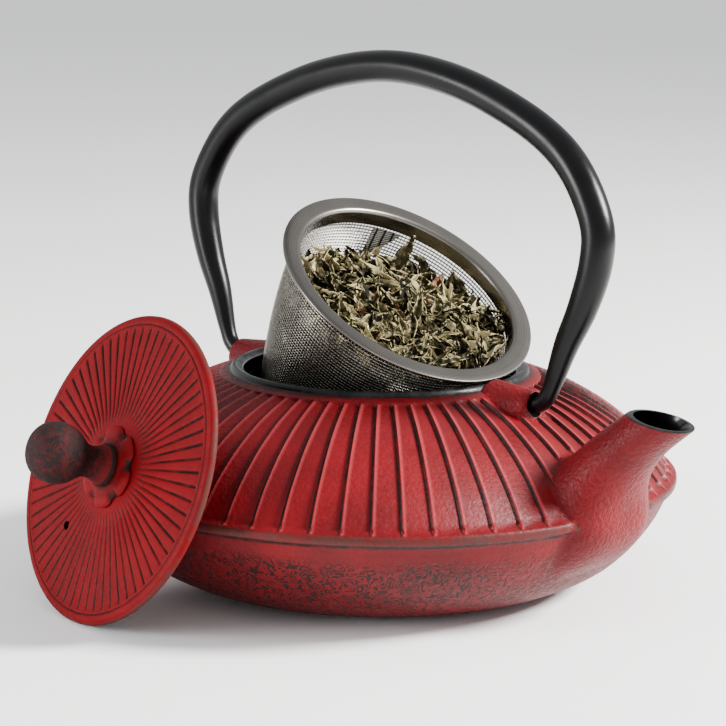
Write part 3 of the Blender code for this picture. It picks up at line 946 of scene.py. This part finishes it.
# Worn cast iron: dark brown skin with the old red showing in its engraving.
def worn_knob_iron(settings):
    material, tree, shader, place = new_material("worn_engraved_iron_knob", LID_PLACE)
    z = polar(tree, place)[0][2]
    wisps = speckle(tree, place, 330.0, 5.0, 0.7, 1.8)
    patch = ramp(tree, speckle(tree, place, 110.0), 0.36, 0.58, 0.3, 1.0)
    tint = product(tree, ramp(tree, wisps, 0.47, 0.55), patch, rise(tree, z, 7.0, 13.0, 0.75, 0.35))
    skin = blend_by(tree, product(tree, tint, 1.4), settings.knob, settings.knob_red)
    skin = blend_by(tree, rise(tree, z, 5.4, 9.5, 0.7, 0.0), skin, hex_linear("6A0E12"))
    crack = product(tree, rise(tree, z, 4.5, 4.8), fall(tree, z, 5.3, 5.8))
    feed(tree, shader, {
        "Base Color": blend_by(tree, crack, skin, hex_linear("1A100E")),
        "Roughness": ramp(tree, wisps, 0.3, 0.7, 0.6, 0.8), "Specular IOR Level": 0.16,
        "Normal": relief(tree, wisps, 0.9, 0.6),
    })
    return material


# The rosette is enamelled as the lid, and its hollows hold dark glaze.
def rosette_enamel(settings):
    material, tree, shader, place = new_material("red_enamel_rosette_dark_hollows", LID_PLACE)
    _, radius, turn = polar(tree, place)
    off = off_middle(tree, sawtooth(tree, turn, ROSETTE_LOBES, ROSETTE_TURN - 30.0))
    hollow = product(tree, ramp(tree, off, 0.1, 0.24, 1.0, 0.0), rise(tree, radius, 7.0, 8.6))
    rub = ramp(tree, speckle(tree, place, 260.0, 4.0), 0.3, 0.6, 0.4, 1.0)
    coat = blend_by(tree, product(tree, hollow, rub), settings.enamel, hex_linear("191412"))
    stain = product(
        tree, fall(tree, radius, 5.2, 8.2),
        ramp(tree, speckle(tree, place, 120.0, 4.0), 0.35, 0.65, 0.3, 1.0), 0.8,
    )
    feed(tree, shader, {
        "Base Color": blend_by(tree, stain, coat, hex_linear("3A1512")),
        "Roughness": 0.6, "Specular IOR Level": 0.1,
        "Normal": relief(tree, speckle(tree, place, 600.0), 0.4, 0.25),
    })
    return material


def cut_grooves(obj, depth):
    """Presses the fine radial grooves into the lid's upper face."""
    start, end = GROOVE_REACH
    for vertex in obj.data.vertices:
        x, y, z = vertex.co
        radius = math.hypot(x, y) / MM
        if z < GROOVE_ABOVE * MM or not start < radius < end:
            continue
        turns = (math.degrees(math.atan2(y, x)) - LID_PHASE) * LID_GROOVES / 360.0
        share = turns - math.floor(turns + TURN_SLACK)
        across = min(share, 1.0 - share) * radius * FULL_TURN / LID_GROOVES
        fade = min(1.0, (radius - start) / 3.0)
        vertex.co.z -= depth * fade * (math.exp(-(across / GROOVE_WIDTH) ** 2) + 0.3 * share)


def notch_rosette(obj):
    """Pulls six hollows into the rosette's edge."""
    lobe = 360.0 / ROSETTE_LOBES
    for vertex in obj.data.vertices:
        x, y, z = vertex.co
        radius = math.hypot(x, y) / MM
        if radius < NOTCH_FROM:
            continue
        angle = math.degrees(math.atan2(y, x)) - ROSETTE_TURN
        off = abs((angle + lobe / 2) % lobe - lobe / 2)
        hollow = math.exp(-(off / NOTCH_HALF_ANGLE) ** 2) * min(1.0, (radius - NOTCH_FROM) / 2.5)
        shrink = 1.0 - NOTCH_SHARE * hollow
        vertex.co.x *= shrink
        vertex.co.y *= shrink
        if z > ROSETTE_MIDDLE * MM:
            vertex.co.z -= NOTCH_SINK * MM * hollow


class TEAPOT_OT_lid(bpy.types.Operator):
    """Turn the lid and cut its fine radial grooves"""

    bl_idname = "teapot.lid"
    bl_label = "Lid"

    def execute(self, context):
        settings = context.scene.teapot_lid
        profile = smooth_line(LID_TOP_LINE, 1.2) + list(LID_EDGE_LINE)
        steps = LID_GROOVES * COLUMNS_PER_GROOVE
        lid = turn_profile("lid_enamelled", profile, steps, closed=True)
        lid.data.transform(Matrix.Rotation(math.radians(LID_PHASE), 4, "Z"))
        cut_grooves(lid, settings.groove_depth)
        deselect()
        bpy.ops.mesh.primitive_cylinder_add(
            vertices=28, radius=VENT_RADIUS * MM, depth=12.0 * MM,
            location=(VENT_PLACE[0] * MM, VENT_PLACE[1] * MM, 0.0),
        )
        vent = renamed("vent")
        settle(vent)
        hole = surface_of(vent)
        combine(lid, vent, "DIFFERENCE")
        discard(vent)
        coats = [red_lid_enamel(settings), worn_dark_enamel(context.scene.teapot_pot)]
        finish_piece(lid, "lid", coats, ["lid_plate"])
        for face in lid.data.polygons:
            in_vent = away(hole, face.center) < TOUCHING * MM
            if in_vent or face.center.z < LID_UNDERSIDE * MM:
                face.material_index = 1
        lid.data.transform(LID_PLACE)
        lid.data.update()
        return {"FINISHED"}


class TEAPOT_OT_knob(bpy.types.Operator):
    """Turn the knob and its rosette, and finish the screw under the lid"""

    bl_idname = "teapot.knob"
    bl_label = "Knob and rosette"

    def execute(self, context):
        settings = context.scene.teapot_lid
        edge = smooth_line(ROSETTE_LINE, 0.6) + list(ROSETTE_EDGE)
        rosette = turn_profile("rosette_cast", edge, 144, closed=True)
        notch_rosette(rosette)
        settle(rosette, LID_PLACE)
        coats = [rosette_enamel(settings)]
        finish_piece(rosette, "lid", coats, ["knob_rosette"])
        line = smooth_line([(r, KNOB_FOOT + rise_by) for r, rise_by in KNOB_LINE], 0.7)
        around = [(r, KNOB_FOOT + rise_by) for r, rise_by in KNOB_BORE]
        knob = turn_profile("knob_turned", around[:3] + line + around[3:], 72)
        settle(knob, LID_PLACE)
        finish_piece(knob, "lid", [worn_knob_iron(settings)], ["lid_knob"])
        steel = brushed_steel("zinc_plated_steel", hex_linear("9B9A92"), LID_PLACE, 0.35)
        for name in ("knob_washer", "knob_screw"):
            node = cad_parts[name]
            node.data.materials.clear()
            node.data.materials.append(steel)
        return {"FINISHED"}


# Stainless steel turned on a lathe: fine rings that stretch the highlights.
def brushed_steel(name, colour, matrix, rough):
    material, tree, shader, place = new_material(name, matrix)
    _, radius, _ = polar(tree, place)
    rings = add_node(
        tree, "ShaderNodeTexNoise", {"W": radius, "Scale": 5200.0, "Detail": 2.0},
        noise_dimensions="1D",
    ).outputs["Fac"]
    cloud = ramp(tree, speckle(tree, place, 45.0), 0.3, 0.7)
    feed(tree, shader, {
        "Base Color": blend_by(tree, cloud, deeper(colour, 0.8), colour), "Metallic": 1.0,
        "Roughness": ramp(tree, rings, 0.3, 0.7, rough * 0.85, rough * 1.2),
        "Normal": relief(tree, rings, 0.08, 0.1),
    })
    return material


# Drawn stainless wire: bright metal, slightly uneven from the weaving.
def woven_wire(settings):
    material, tree, shader, place = new_material("drawn_stainless_wire")
    cloud = speckle(tree, place, 900.0, 1.0)
    shade = blend_by(tree, ramp(tree, cloud, 0.3, 0.7), hex_linear("827D76"), settings.wire)
    feed(tree, shader, {
        "Base Color": shade, "Metallic": 1.0,
        "Roughness": ramp(tree, cloud, 0.3, 0.7, 0.28, 0.42),
    })
    return material


def basket_radius(depth):
    """Radius of the basket at a depth below its rim: straight, then drawn in."""
    return MESH_TOP_RADIUS - MESH_DRAW_IN * (depth / INFUSER_DEPTH) ** 1.6


class TEAPOT_OT_infuser_rim(bpy.types.Operator):
    """Turn the infuser's flat steel rim with its rolled inner edge"""

    bl_idname = "teapot.infuser_rim"
    bl_label = "Infuser rim"

    def execute(self, context):
        settings = context.scene.teapot_infuser
        rim = turn_profile("infuser_rim_steel", RIM_LINE, 192, closed=True)
        settle(rim, INFUSER_PLACE)
        steel = brushed_steel("brushed_stainless_rim", settings.steel, INFUSER_PLACE, 0.3)
        finish_piece(rim, "infuser", [steel], ["infuser_rim"])
        return {"FINISHED"}


def ring_wires(depths, wire):
    """Level wires of the basket, one hoop at each depth."""
    deselect()
    hoops = []
    for depth in depths:
        bpy.ops.mesh.primitive_torus_add(
            major_segments=150, minor_segments=3, minor_radius=wire,
            major_radius=basket_radius(depth) * MM - wire, location=(0.0, 0.0, -depth * MM),
        )
        hoops.append(bpy.context.object)
    hoops = joined(hoops)
    settle(hoops)
    return hoops


def upright_wires(count, wire):
    """One wire drawn down the basket's wall and repeated round it."""
    depths = [1.0 + (INFUSER_DEPTH - 1.6) * i / 14 for i in range(15)]
    deselect()
    bpy.ops.mesh.primitive_circle_add(
        vertices=3, radius=wire, fill_type="NGON",
        location=(basket_radius(depths[0]) * MM, 0.0, -MM),
    )
    wires = renamed("upright_wires")
    bpy.ops.object.mode_set(mode="EDIT")
    for a, b in zip(depths, depths[1:]):
        step = Vector((basket_radius(b) - basket_radius(a), 0.0, a - b)) * MM
        bpy.ops.mesh.extrude_region_move(TRANSFORM_OT_translate={"value": step})
    bpy.ops.mesh.select_all(action="SELECT")
    bpy.ops.mesh.spin(
        steps=count, dupli=True, angle=FULL_TURN, center=(0.0, 0.0, 0.0), axis=(0.0, 0.0, 1.0),
    )
    clean()
    bpy.ops.object.mode_set(mode="OBJECT")
    settle(wires)
    return wires


def floor_wires(pitch, wire):
    """Two crossed layers of straight wires over the basket's floor."""
    strands = []
    reach = basket_radius(INFUSER_DEPTH - FLOOR_RISE) - FLOOR_INSET
    rows = int(2 * reach / (pitch * FLOOR_PITCH_SHARE))
    for number in range(rows):
        off = -reach + 2 * reach * (number + 0.5) / rows
        length = 2 * math.sqrt(reach ** 2 - off ** 2)
        for turned, place, level in (
            (0.0, (off, 0.0), 0.0), (math.pi / 2, (0.0, off), wire * 1.6),
        ):
            deselect()
            bpy.ops.mesh.primitive_cylinder_add(
                vertices=4, radius=wire, depth=length * MM, end_fill_type="NGON",
                rotation=(math.pi / 2, 0.0, turned),
                location=(place[0] * MM, place[1] * MM, -(INFUSER_DEPTH - 0.5) * MM + level),
            )
            strands.append(bpy.context.object)
    return joined(strands)


# Two layers of wire cloth lapped and spot welded: darker, with a slanted weave.
def lapped_seam_cloth():
    material, tree, shader, place = new_material("lapped_wire_cloth_seam", INFUSER_PLACE)
    (_, _, z), _, turn = polar(tree, place)
    share = sawtooth(tree, turn, 80, 0.0)
    slant = maths(tree, "MULTIPLY_ADD", z, 1250.0, product(tree, share, 2.0))
    rib = maths(tree, "FRACT", slant)
    weave = product(tree, ramp(tree, rib, 0.25, 0.55), ramp(tree, share, 0.15, 0.4))
    feed(tree, shader, {
        "Base Color": blend_by(tree, weave, hex_linear("161614"), hex_linear("C6C4BF")),
        "Metallic": 0.6, "Roughness": 0.45, "Normal": relief(tree, weave, 0.5, 0.2),
    })
    return material


def seam_strip():
    """The lapped strip inside the wall, narrower and slanting as it goes down."""
    depths = [SEAM_TOP + SEAM_LENGTH * i / 12 for i in range(13)]
    line = [(basket_radius(d) - SEAM_INSET, -d) for d in depths]
    seam = turn_profile("infuser_lapped_seam", line, 10, degrees=SEAM_WIDTH)
    centre = math.radians(SEAM_WIDTH / 2)
    for vertex in seam.data.vertices:
        share = (-vertex.co.z / MM - SEAM_TOP) / SEAM_LENGTH
        angle = math.atan2(vertex.co.y, vertex.co.x)
        angle = centre + (angle - centre) * max(SEAM_NARROWEST, 1.0 - SEAM_NARROWING * share)
        angle += math.radians(SEAM_SLANT) * min(share, SEAM_SLANT_TO)
        radius = math.hypot(vertex.co.x, vertex.co.y)
        vertex.co.x, vertex.co.y = radius * math.cos(angle), radius * math.sin(angle)
    seam.data.transform(Matrix.Rotation(math.radians(SEAM_ANGLE - SEAM_WIDTH / 2), 4, "Z"))
    modify(seam, "SOLIDIFY", thickness=SEAM_THICKNESS * MM, offset=0.0)
    return seam


class TEAPOT_OT_infuser_basket(bpy.types.Operator):
    """Weave the infuser's wall and floor from single wires"""

    bl_idname = "teapot.infuser_basket"
    bl_label = "Infuser basket"

    def execute(self, context):
        settings = context.scene.teapot_infuser
        wire, pitch = settings.wire_radius, settings.pitch / MM
        count = int((INFUSER_DEPTH - HOOPS_SHORT) / pitch)
        hoops = ring_wires([FIRST_HOOP + pitch * i for i in range(count)], HOOP_SHARE * wire)
        count = int(FULL_TURN * MEAN_BASKET_RADIUS / pitch)
        uprights = upright_wires(count, UPRIGHT_SHARE * wire)
        joined((hoops, uprights))
        wall = renamed("infuser_wire_wall")
        settle(wall, INFUSER_PLACE)
        cloth = woven_wire(settings)
        finish_piece(wall, "infuser", [cloth], ["infuser_wall"], angle=180.0)
        floor_wires(pitch, wire)
        floor = renamed("infuser_wire_floor")
        settle(floor)
        settle(floor, INFUSER_PLACE)
        finish_piece(floor, "infuser", [cloth], ["infuser_floor"])
        seam = seam_strip()
        settle(seam, INFUSER_PLACE)
        finish_piece(seam, "infuser", [lapped_seam_cloth()], ["infuser_seam"])
        return {"FINISHED"}


# Dried green tea: matt curled leaf, dark olive to khaki, with paler edges.
def dried_tea_leaf(settings):
    material, tree, shader, place = new_material("dried_green_tea_leaf")
    tone, rim = (
        add_node(tree, "ShaderNodeAttribute", {}, attribute_name=name).outputs["Fac"]
        for name in ("leaf_tone", "leaf_edge")
    )
    streak = speckle(tree, place, 620.0, 4.0)
    # the darkest tone is also the mound's, painted shade in the gaps between the leaves
    leaf = settings.dark_leaf_and_gap_shade
    pale_edge = product(tree, ramp(tree, rim, 0.55, 0.95), ramp(tree, streak, 0.45, 0.6), 0.6)
    for share, colour in (
        (ramp(tree, tone, 0.2, 0.6), settings.olive_leaf),
        (ramp(tree, tone, 0.62, 0.98), settings.pale_leaf),
        (ramp(tree, tone, 0.982, 0.985), hex_linear("6A4432")),
        (product(tree, ramp(tree, streak, 0.5, 0.68), 0.6), hex_linear("756A48")),
        (pale_edge, settings.pale_leaf),
        (product(tree, ramp(tree, streak, 0.48, 0.32), 0.85), hex_linear("070602")),
    ):
        leaf = blend_by(tree, share, leaf, colour)
    feed(tree, shader, {
        "Base Color": leaf, "Roughness": 0.7, "Specular IOR Level": 0.08,
        "Normal": relief(tree, streak, 0.5, 0.3),
    })
    return material


def leaf_form(length, width, twist, curl, fold):
    """One dried leaf: a pointed strip that is folded, curled, twisted and crumpled."""
    deselect()
    bpy.ops.mesh.primitive_grid_add(x_subdivisions=11, y_subdivisions=2, size=1.0)
    leaf = bpy.context.object
    sides = []
    for vertex in leaf.data.vertices:
        along, side = vertex.co.x, vertex.co.y
        sides.append(abs(2.0 * side))
        body = max(0.08, 1.0 - abs(2.0 * along) ** 2.4)
        body *= 1.0 + LEAF_RAGGED * noise.noise(Vector((along * 7.0, side, length * 9.0)))
        y = side * width * body
        z = abs(side) * width * fold * body
        angle = twist * along
        y, z = y * math.cos(angle) - z * math.sin(angle), y * math.sin(angle) + z * math.cos(angle)
        bend = curl * along
        x = length * math.sin(bend) / curl
        z += length * (1.0 - math.cos(bend)) / curl * 0.8
        crumple = noise.noise_vector(Vector((along * 5.0, side * 2.0, width * 7.0)))
        vertex.co = (Vector((x, y, z)) + crumple * LEAF_CRUMPLE) * MM
    edge = leaf.data.attributes.new("leaf_edge", "FLOAT", "POINT")
    edge.data.foreach_set("value", sides)
    return leaf


def heap_height(x, y):
    """Height of the heap in millimetres at a place in the basket."""
    off = (x - BULGE_CENTRE[0]) ** 2 + (y - BULGE_CENTRE[1]) ** 2
    bulge = BULGE_HEIGHT * math.exp(-off / BULGE_SPREAD)
    rough = HEAP_ROUGHNESS * noise.noise(Vector((x * HEAP_ROUGH_SCALE, y * HEAP_ROUGH_SCALE, 3.0)))
    return HEAP_LEVEL - y * math.tan(math.radians(HEAP_SLOPE)) + bulge + rough


def give_tone(obj, tone):
    """Stores the leaf's tone where the material reads it."""
    tones = obj.data.attributes.get("leaf_tone")
    if tones is None:
        tones = obj.data.attributes.new("leaf_tone", "FLOAT", "POINT")
    tones.data.foreach_set("value", [tone] * len(obj.data.vertices))
    return obj


class TEAPOT_OT_tea(bpy.types.Operator):
    """Heap dried leaves in the infuser"""

    bl_idname = "teapot.tea"
    bl_label = "Tea leaves"

    def execute(self, context):
        settings = context.scene.teapot_tea
        dice = random.Random(DICE_SEED)
        noise.seed_set(NOISE_SEED)
        forms = [self.form(dice) for _ in range(LEAF_FORMS)]
        leaves = [self.mound()]
        leaves += [self.scatter(dice, forms) for _ in range(settings.leaves)]
        leaves.append(self.upright(dice, forms))
        for leaf in leaves:
            self.keep_inside(leaf)
        leaves += [self.stray(dice, forms) for _ in range(STRAYS)]
        discard(*forms)
        joined(leaves)
        heap = renamed("tea_leaves_loose")
        settle(heap, INFUSER_PLACE)
        finish_piece(heap, "infuser", [dried_tea_leaf(settings)], ["tea_leaves"])
        return {"FINISHED"}

    def form(self, dice):
        """A leaf of random length, width, twist, curl and fold."""
        form = leaf_form(
            dice.uniform(*LEAF_LENGTHS), dice.uniform(*LEAF_WIDTHS), dice.uniform(*LEAF_TWISTS),
            dice.uniform(*LEAF_CURLS) * dice.choice((1, -1)), dice.uniform(*LEAF_FOLDS),
        )
        modify(form, "SOLIDIFY", thickness=LEAF_THICKNESS * MM, offset=0.0)
        return form

    def mound(self):
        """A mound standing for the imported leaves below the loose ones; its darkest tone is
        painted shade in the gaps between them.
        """
        deselect()
        bpy.ops.mesh.primitive_uv_sphere_add(segments=48, ring_count=24, radius=1.0)
        mound = bpy.context.object
        for vertex in mound.data.vertices:
            x, y = vertex.co.x * MOUND_RADIUS, vertex.co.y * MOUND_RADIUS
            if vertex.co.z >= 0.0:
                rough = noise.noise(Vector((x, y, 0.0)) * 0.6)
                z = heap_height(x, y) - MOUND_SINK + MOUND_ROUGHNESS * rough
            else:
                z = MOUND_MIDDLE + vertex.co.z * MOUND_DEPTH
                fit = min(1.0, (basket_radius(-z) - 2.0) / MOUND_RADIUS)
                x, y = x * fit, y * fit
            vertex.co = Vector((x, y, z)) * MM
        # tone 0 gives the mound the darkest leaf colour: painted shade between the loose leaves
        return give_tone(mound, 0.0)

    def copy_of(self, dice, forms, matrix):
        mesh = dice.choice(forms).data.copy()
        mesh.transform(matrix)
        leaf = bpy.data.objects.new("leaf", mesh)
        bpy.context.scene.collection.objects.link(leaf)
        return give_tone(leaf, dice.random())

    def scatter(self, dice, forms):
        """One leaf lying on the heap."""
        radius = LEAF_SPREAD * math.sqrt(dice.random())
        angle = dice.uniform(0.0, FULL_TURN)
        x, y = radius * math.cos(angle), radius * math.sin(angle)
        z = heap_height(x, y) + dice.uniform(*LEAF_LEVELS)
        turn = Matrix.Rotation(dice.uniform(0.0, FULL_TURN), 4, "Z")
        pitch = Matrix.Rotation(dice.gauss(0.0, LEAF_PITCH), 4, "Y")
        roll = Matrix.Rotation(dice.uniform(-LEAF_ROLL, LEAF_ROLL), 4, "X")
        size = Matrix.Scale(dice.uniform(*LEAF_SIZES), 4)
        place = Matrix.Translation(Vector((x, y, z)) * MM)
        return self.copy_of(dice, forms, place @ turn @ pitch @ roll @ size)

    def upright(self, dice, forms):
        """The one broad leaf that stands up at the back of the heap."""
        x, y = STANDING_LEAF
        place = Matrix.Translation(Vector((x, y, heap_height(x, y) + STANDING_RISE)) * MM)
        stand = Matrix.Rotation(math.radians(STANDING_LEAN), 4, "Y")
        wide = Matrix.Diagonal((1.25, 1.9, 1.4, 1.0))
        leaf = self.copy_of(dice, forms[:1], place @ Matrix.Rotation(0.6, 4, "Z") @ stand @ wide)
        return give_tone(leaf, 0.4)

    def stray(self, dice, forms):
        """A pale stem that pokes out between the wires."""
        angle = math.radians(dice.uniform(*STRAY_ANGLES))
        depth = dice.uniform(*STRAY_DEPTHS)
        reach = basket_radius(depth) + 0.4
        out = Vector((reach * math.cos(angle), reach * math.sin(angle), -depth))
        turn = Matrix.Rotation(angle + math.pi / 2, 4, "Z")
        slope = Matrix.Rotation(dice.uniform(-STRAY_SLOPE, STRAY_SLOPE), 4, "Y")
        thin = Matrix.Diagonal((0.62, 0.28, 0.28, 1.0))
        leaf = self.copy_of(dice, forms, Matrix.Translation(out * MM) @ turn @ slope @ thin)
        return give_tone(leaf, 0.9)

    def keep_inside(self, leaf):
        """Pulls a leaf back inside the wires."""
        for vertex in leaf.data.vertices:
            depth = max(0.0, -vertex.co.z / MM)
            radius = math.hypot(vertex.co.x, vertex.co.y) / MM
            limit = INSIDE_SKIRT if depth < SEAM_TOP else basket_radius(depth) - INSIDE_WALL
            if radius > limit:
                vertex.co.x *= limit / radius
                vertex.co.y *= limit / radius


# Painted matt board for the floor: even, pale, with a faint roller texture.
def matt_floor(settings):
    material, tree, shader, place = new_material("matt_pale_floor")
    cloud = product(tree, speckle(tree, place, 3.0), 0.3)
    shade = blend_by(tree, cloud, settings.floor, hex_linear("ECEBE8"))
    feed(tree, shader, {"Base Color": shade, "Roughness": 0.8})
    return material


def soft_light(name, place, size, power, tint):
    deselect()
    bpy.ops.object.light_add(type="AREA", location=place)
    light = bpy.context.object
    light.name = light.data.name = name
    light.data.shape = "DISK"
    light.data.size = size
    light.data.energy = power
    light.data.color = tint
    away_from = Vector(place) - Vector(LIGHT_AIM)
    light.rotation_euler = away_from.to_track_quat("Z", "Y").to_euler()


class TEAPOT_OT_stage(bpy.types.Operator):
    """Lay the floor, hang the soft lights and set up the camera"""

    bl_idname = "teapot.stage"
    bl_label = "Stage"

    def execute(self, context):
        settings = context.scene.teapot_stage
        deselect()
        bpy.ops.mesh.primitive_plane_add(size=14.0, location=(0.0, 0.0, 0.0))
        floor = renamed("studio_floor")
        floor.data.materials.append(matt_floor(settings))
        world = bpy.data.worlds.new("studio")
        world.use_nodes = True
        background = world.node_tree.nodes["Background"]
        background.inputs["Color"].default_value = hex_linear("F4F6F8")
        background.inputs["Strength"].default_value = 1.05
        context.scene.world = world
        for light in LIGHTS:
            soft_light(*light)
        deselect()
        bpy.ops.object.camera_add()
        camera = bpy.context.object
        camera.name = "camera"
        camera.data.sensor_width = 36.0
        camera.data.lens = CAMERA_LENS
        camera.data.clip_start = 0.01
        camera.matrix_world = camera_place()
        context.scene.camera = camera
        return {"FINISHED"}


def camera_place():
    """Where the camera stands and looks, from its heading, dip and roll."""
    heading, dip, roll = CAMERA_HEADING, CAMERA_DIP, CAMERA_ROLL
    ahead = Vector((
        -math.sin(heading) * math.cos(dip), math.cos(heading) * math.cos(dip), -math.sin(dip),
    ))
    right = Vector((math.cos(heading), math.sin(heading), 0.0))
    above = right.cross(ahead)
    right, above = (
        right * math.cos(roll) + above * math.sin(roll),
        above * math.cos(roll) - right * math.sin(roll),
    )
    place = Matrix((right, above, -ahead)).transposed().to_4x4()
    place.translation = Vector(CAMERA_PLACE) * MM
    return place


STEPS = (
    TEAPOT_OT_pot, TEAPOT_OT_bail, TEAPOT_OT_lid, TEAPOT_OT_knob, TEAPOT_OT_infuser_rim,
    TEAPOT_OT_infuser_basket, TEAPOT_OT_tea, TEAPOT_OT_stage,
)


class TEAPOT_PT_panel(bpy.types.Panel):
    """Sizes, colours and building steps of the teapot"""

    bl_idname = "TEAPOT_PT_panel"
    bl_label = "Teapot"
    bl_space_type = "VIEW_3D"
    bl_region_type = "UI"
    bl_category = "Teapot"

    def draw(self, context):
        for name, kind in GROUPS.items():
            settings = getattr(context.scene, name)
            for key in kind.__annotations__:
                self.layout.prop(settings, key)
        for step in STEPS:
            self.layout.operator(step.bl_idname)


GROUPS = {
    "teapot_pot": PotSettings,
    "teapot_bail": BailSettings,
    "teapot_lid": LidSettings,
    "teapot_infuser": InfuserSettings,
    "teapot_tea": TeaSettings,
    "teapot_stage": StageSettings,
}


def register():
    for kind in (*GROUPS.values(), *STEPS, TEAPOT_PT_panel):
        bpy.utils.register_class(kind)
    for name, kind in GROUPS.items():
        setattr(bpy.types.Scene, name, bpy.props.PointerProperty(type=kind))


def unregister():
    for name in GROUPS:
        delattr(bpy.types.Scene, name)
    for kind in reversed((*GROUPS.values(), *STEPS, TEAPOT_PT_panel)):
        bpy.utils.unregister_class(kind)


def main():
    register()
    bpy.ops.teapot.pot()
    bpy.ops.teapot.bail()
    bpy.ops.teapot.lid()
    bpy.ops.teapot.knob()
    bpy.ops.teapot.infuser_rim()
    bpy.ops.teapot.infuser_basket()
    bpy.ops.teapot.tea()
    bpy.ops.teapot.stage()


if __name__ == "__main__":
    main()
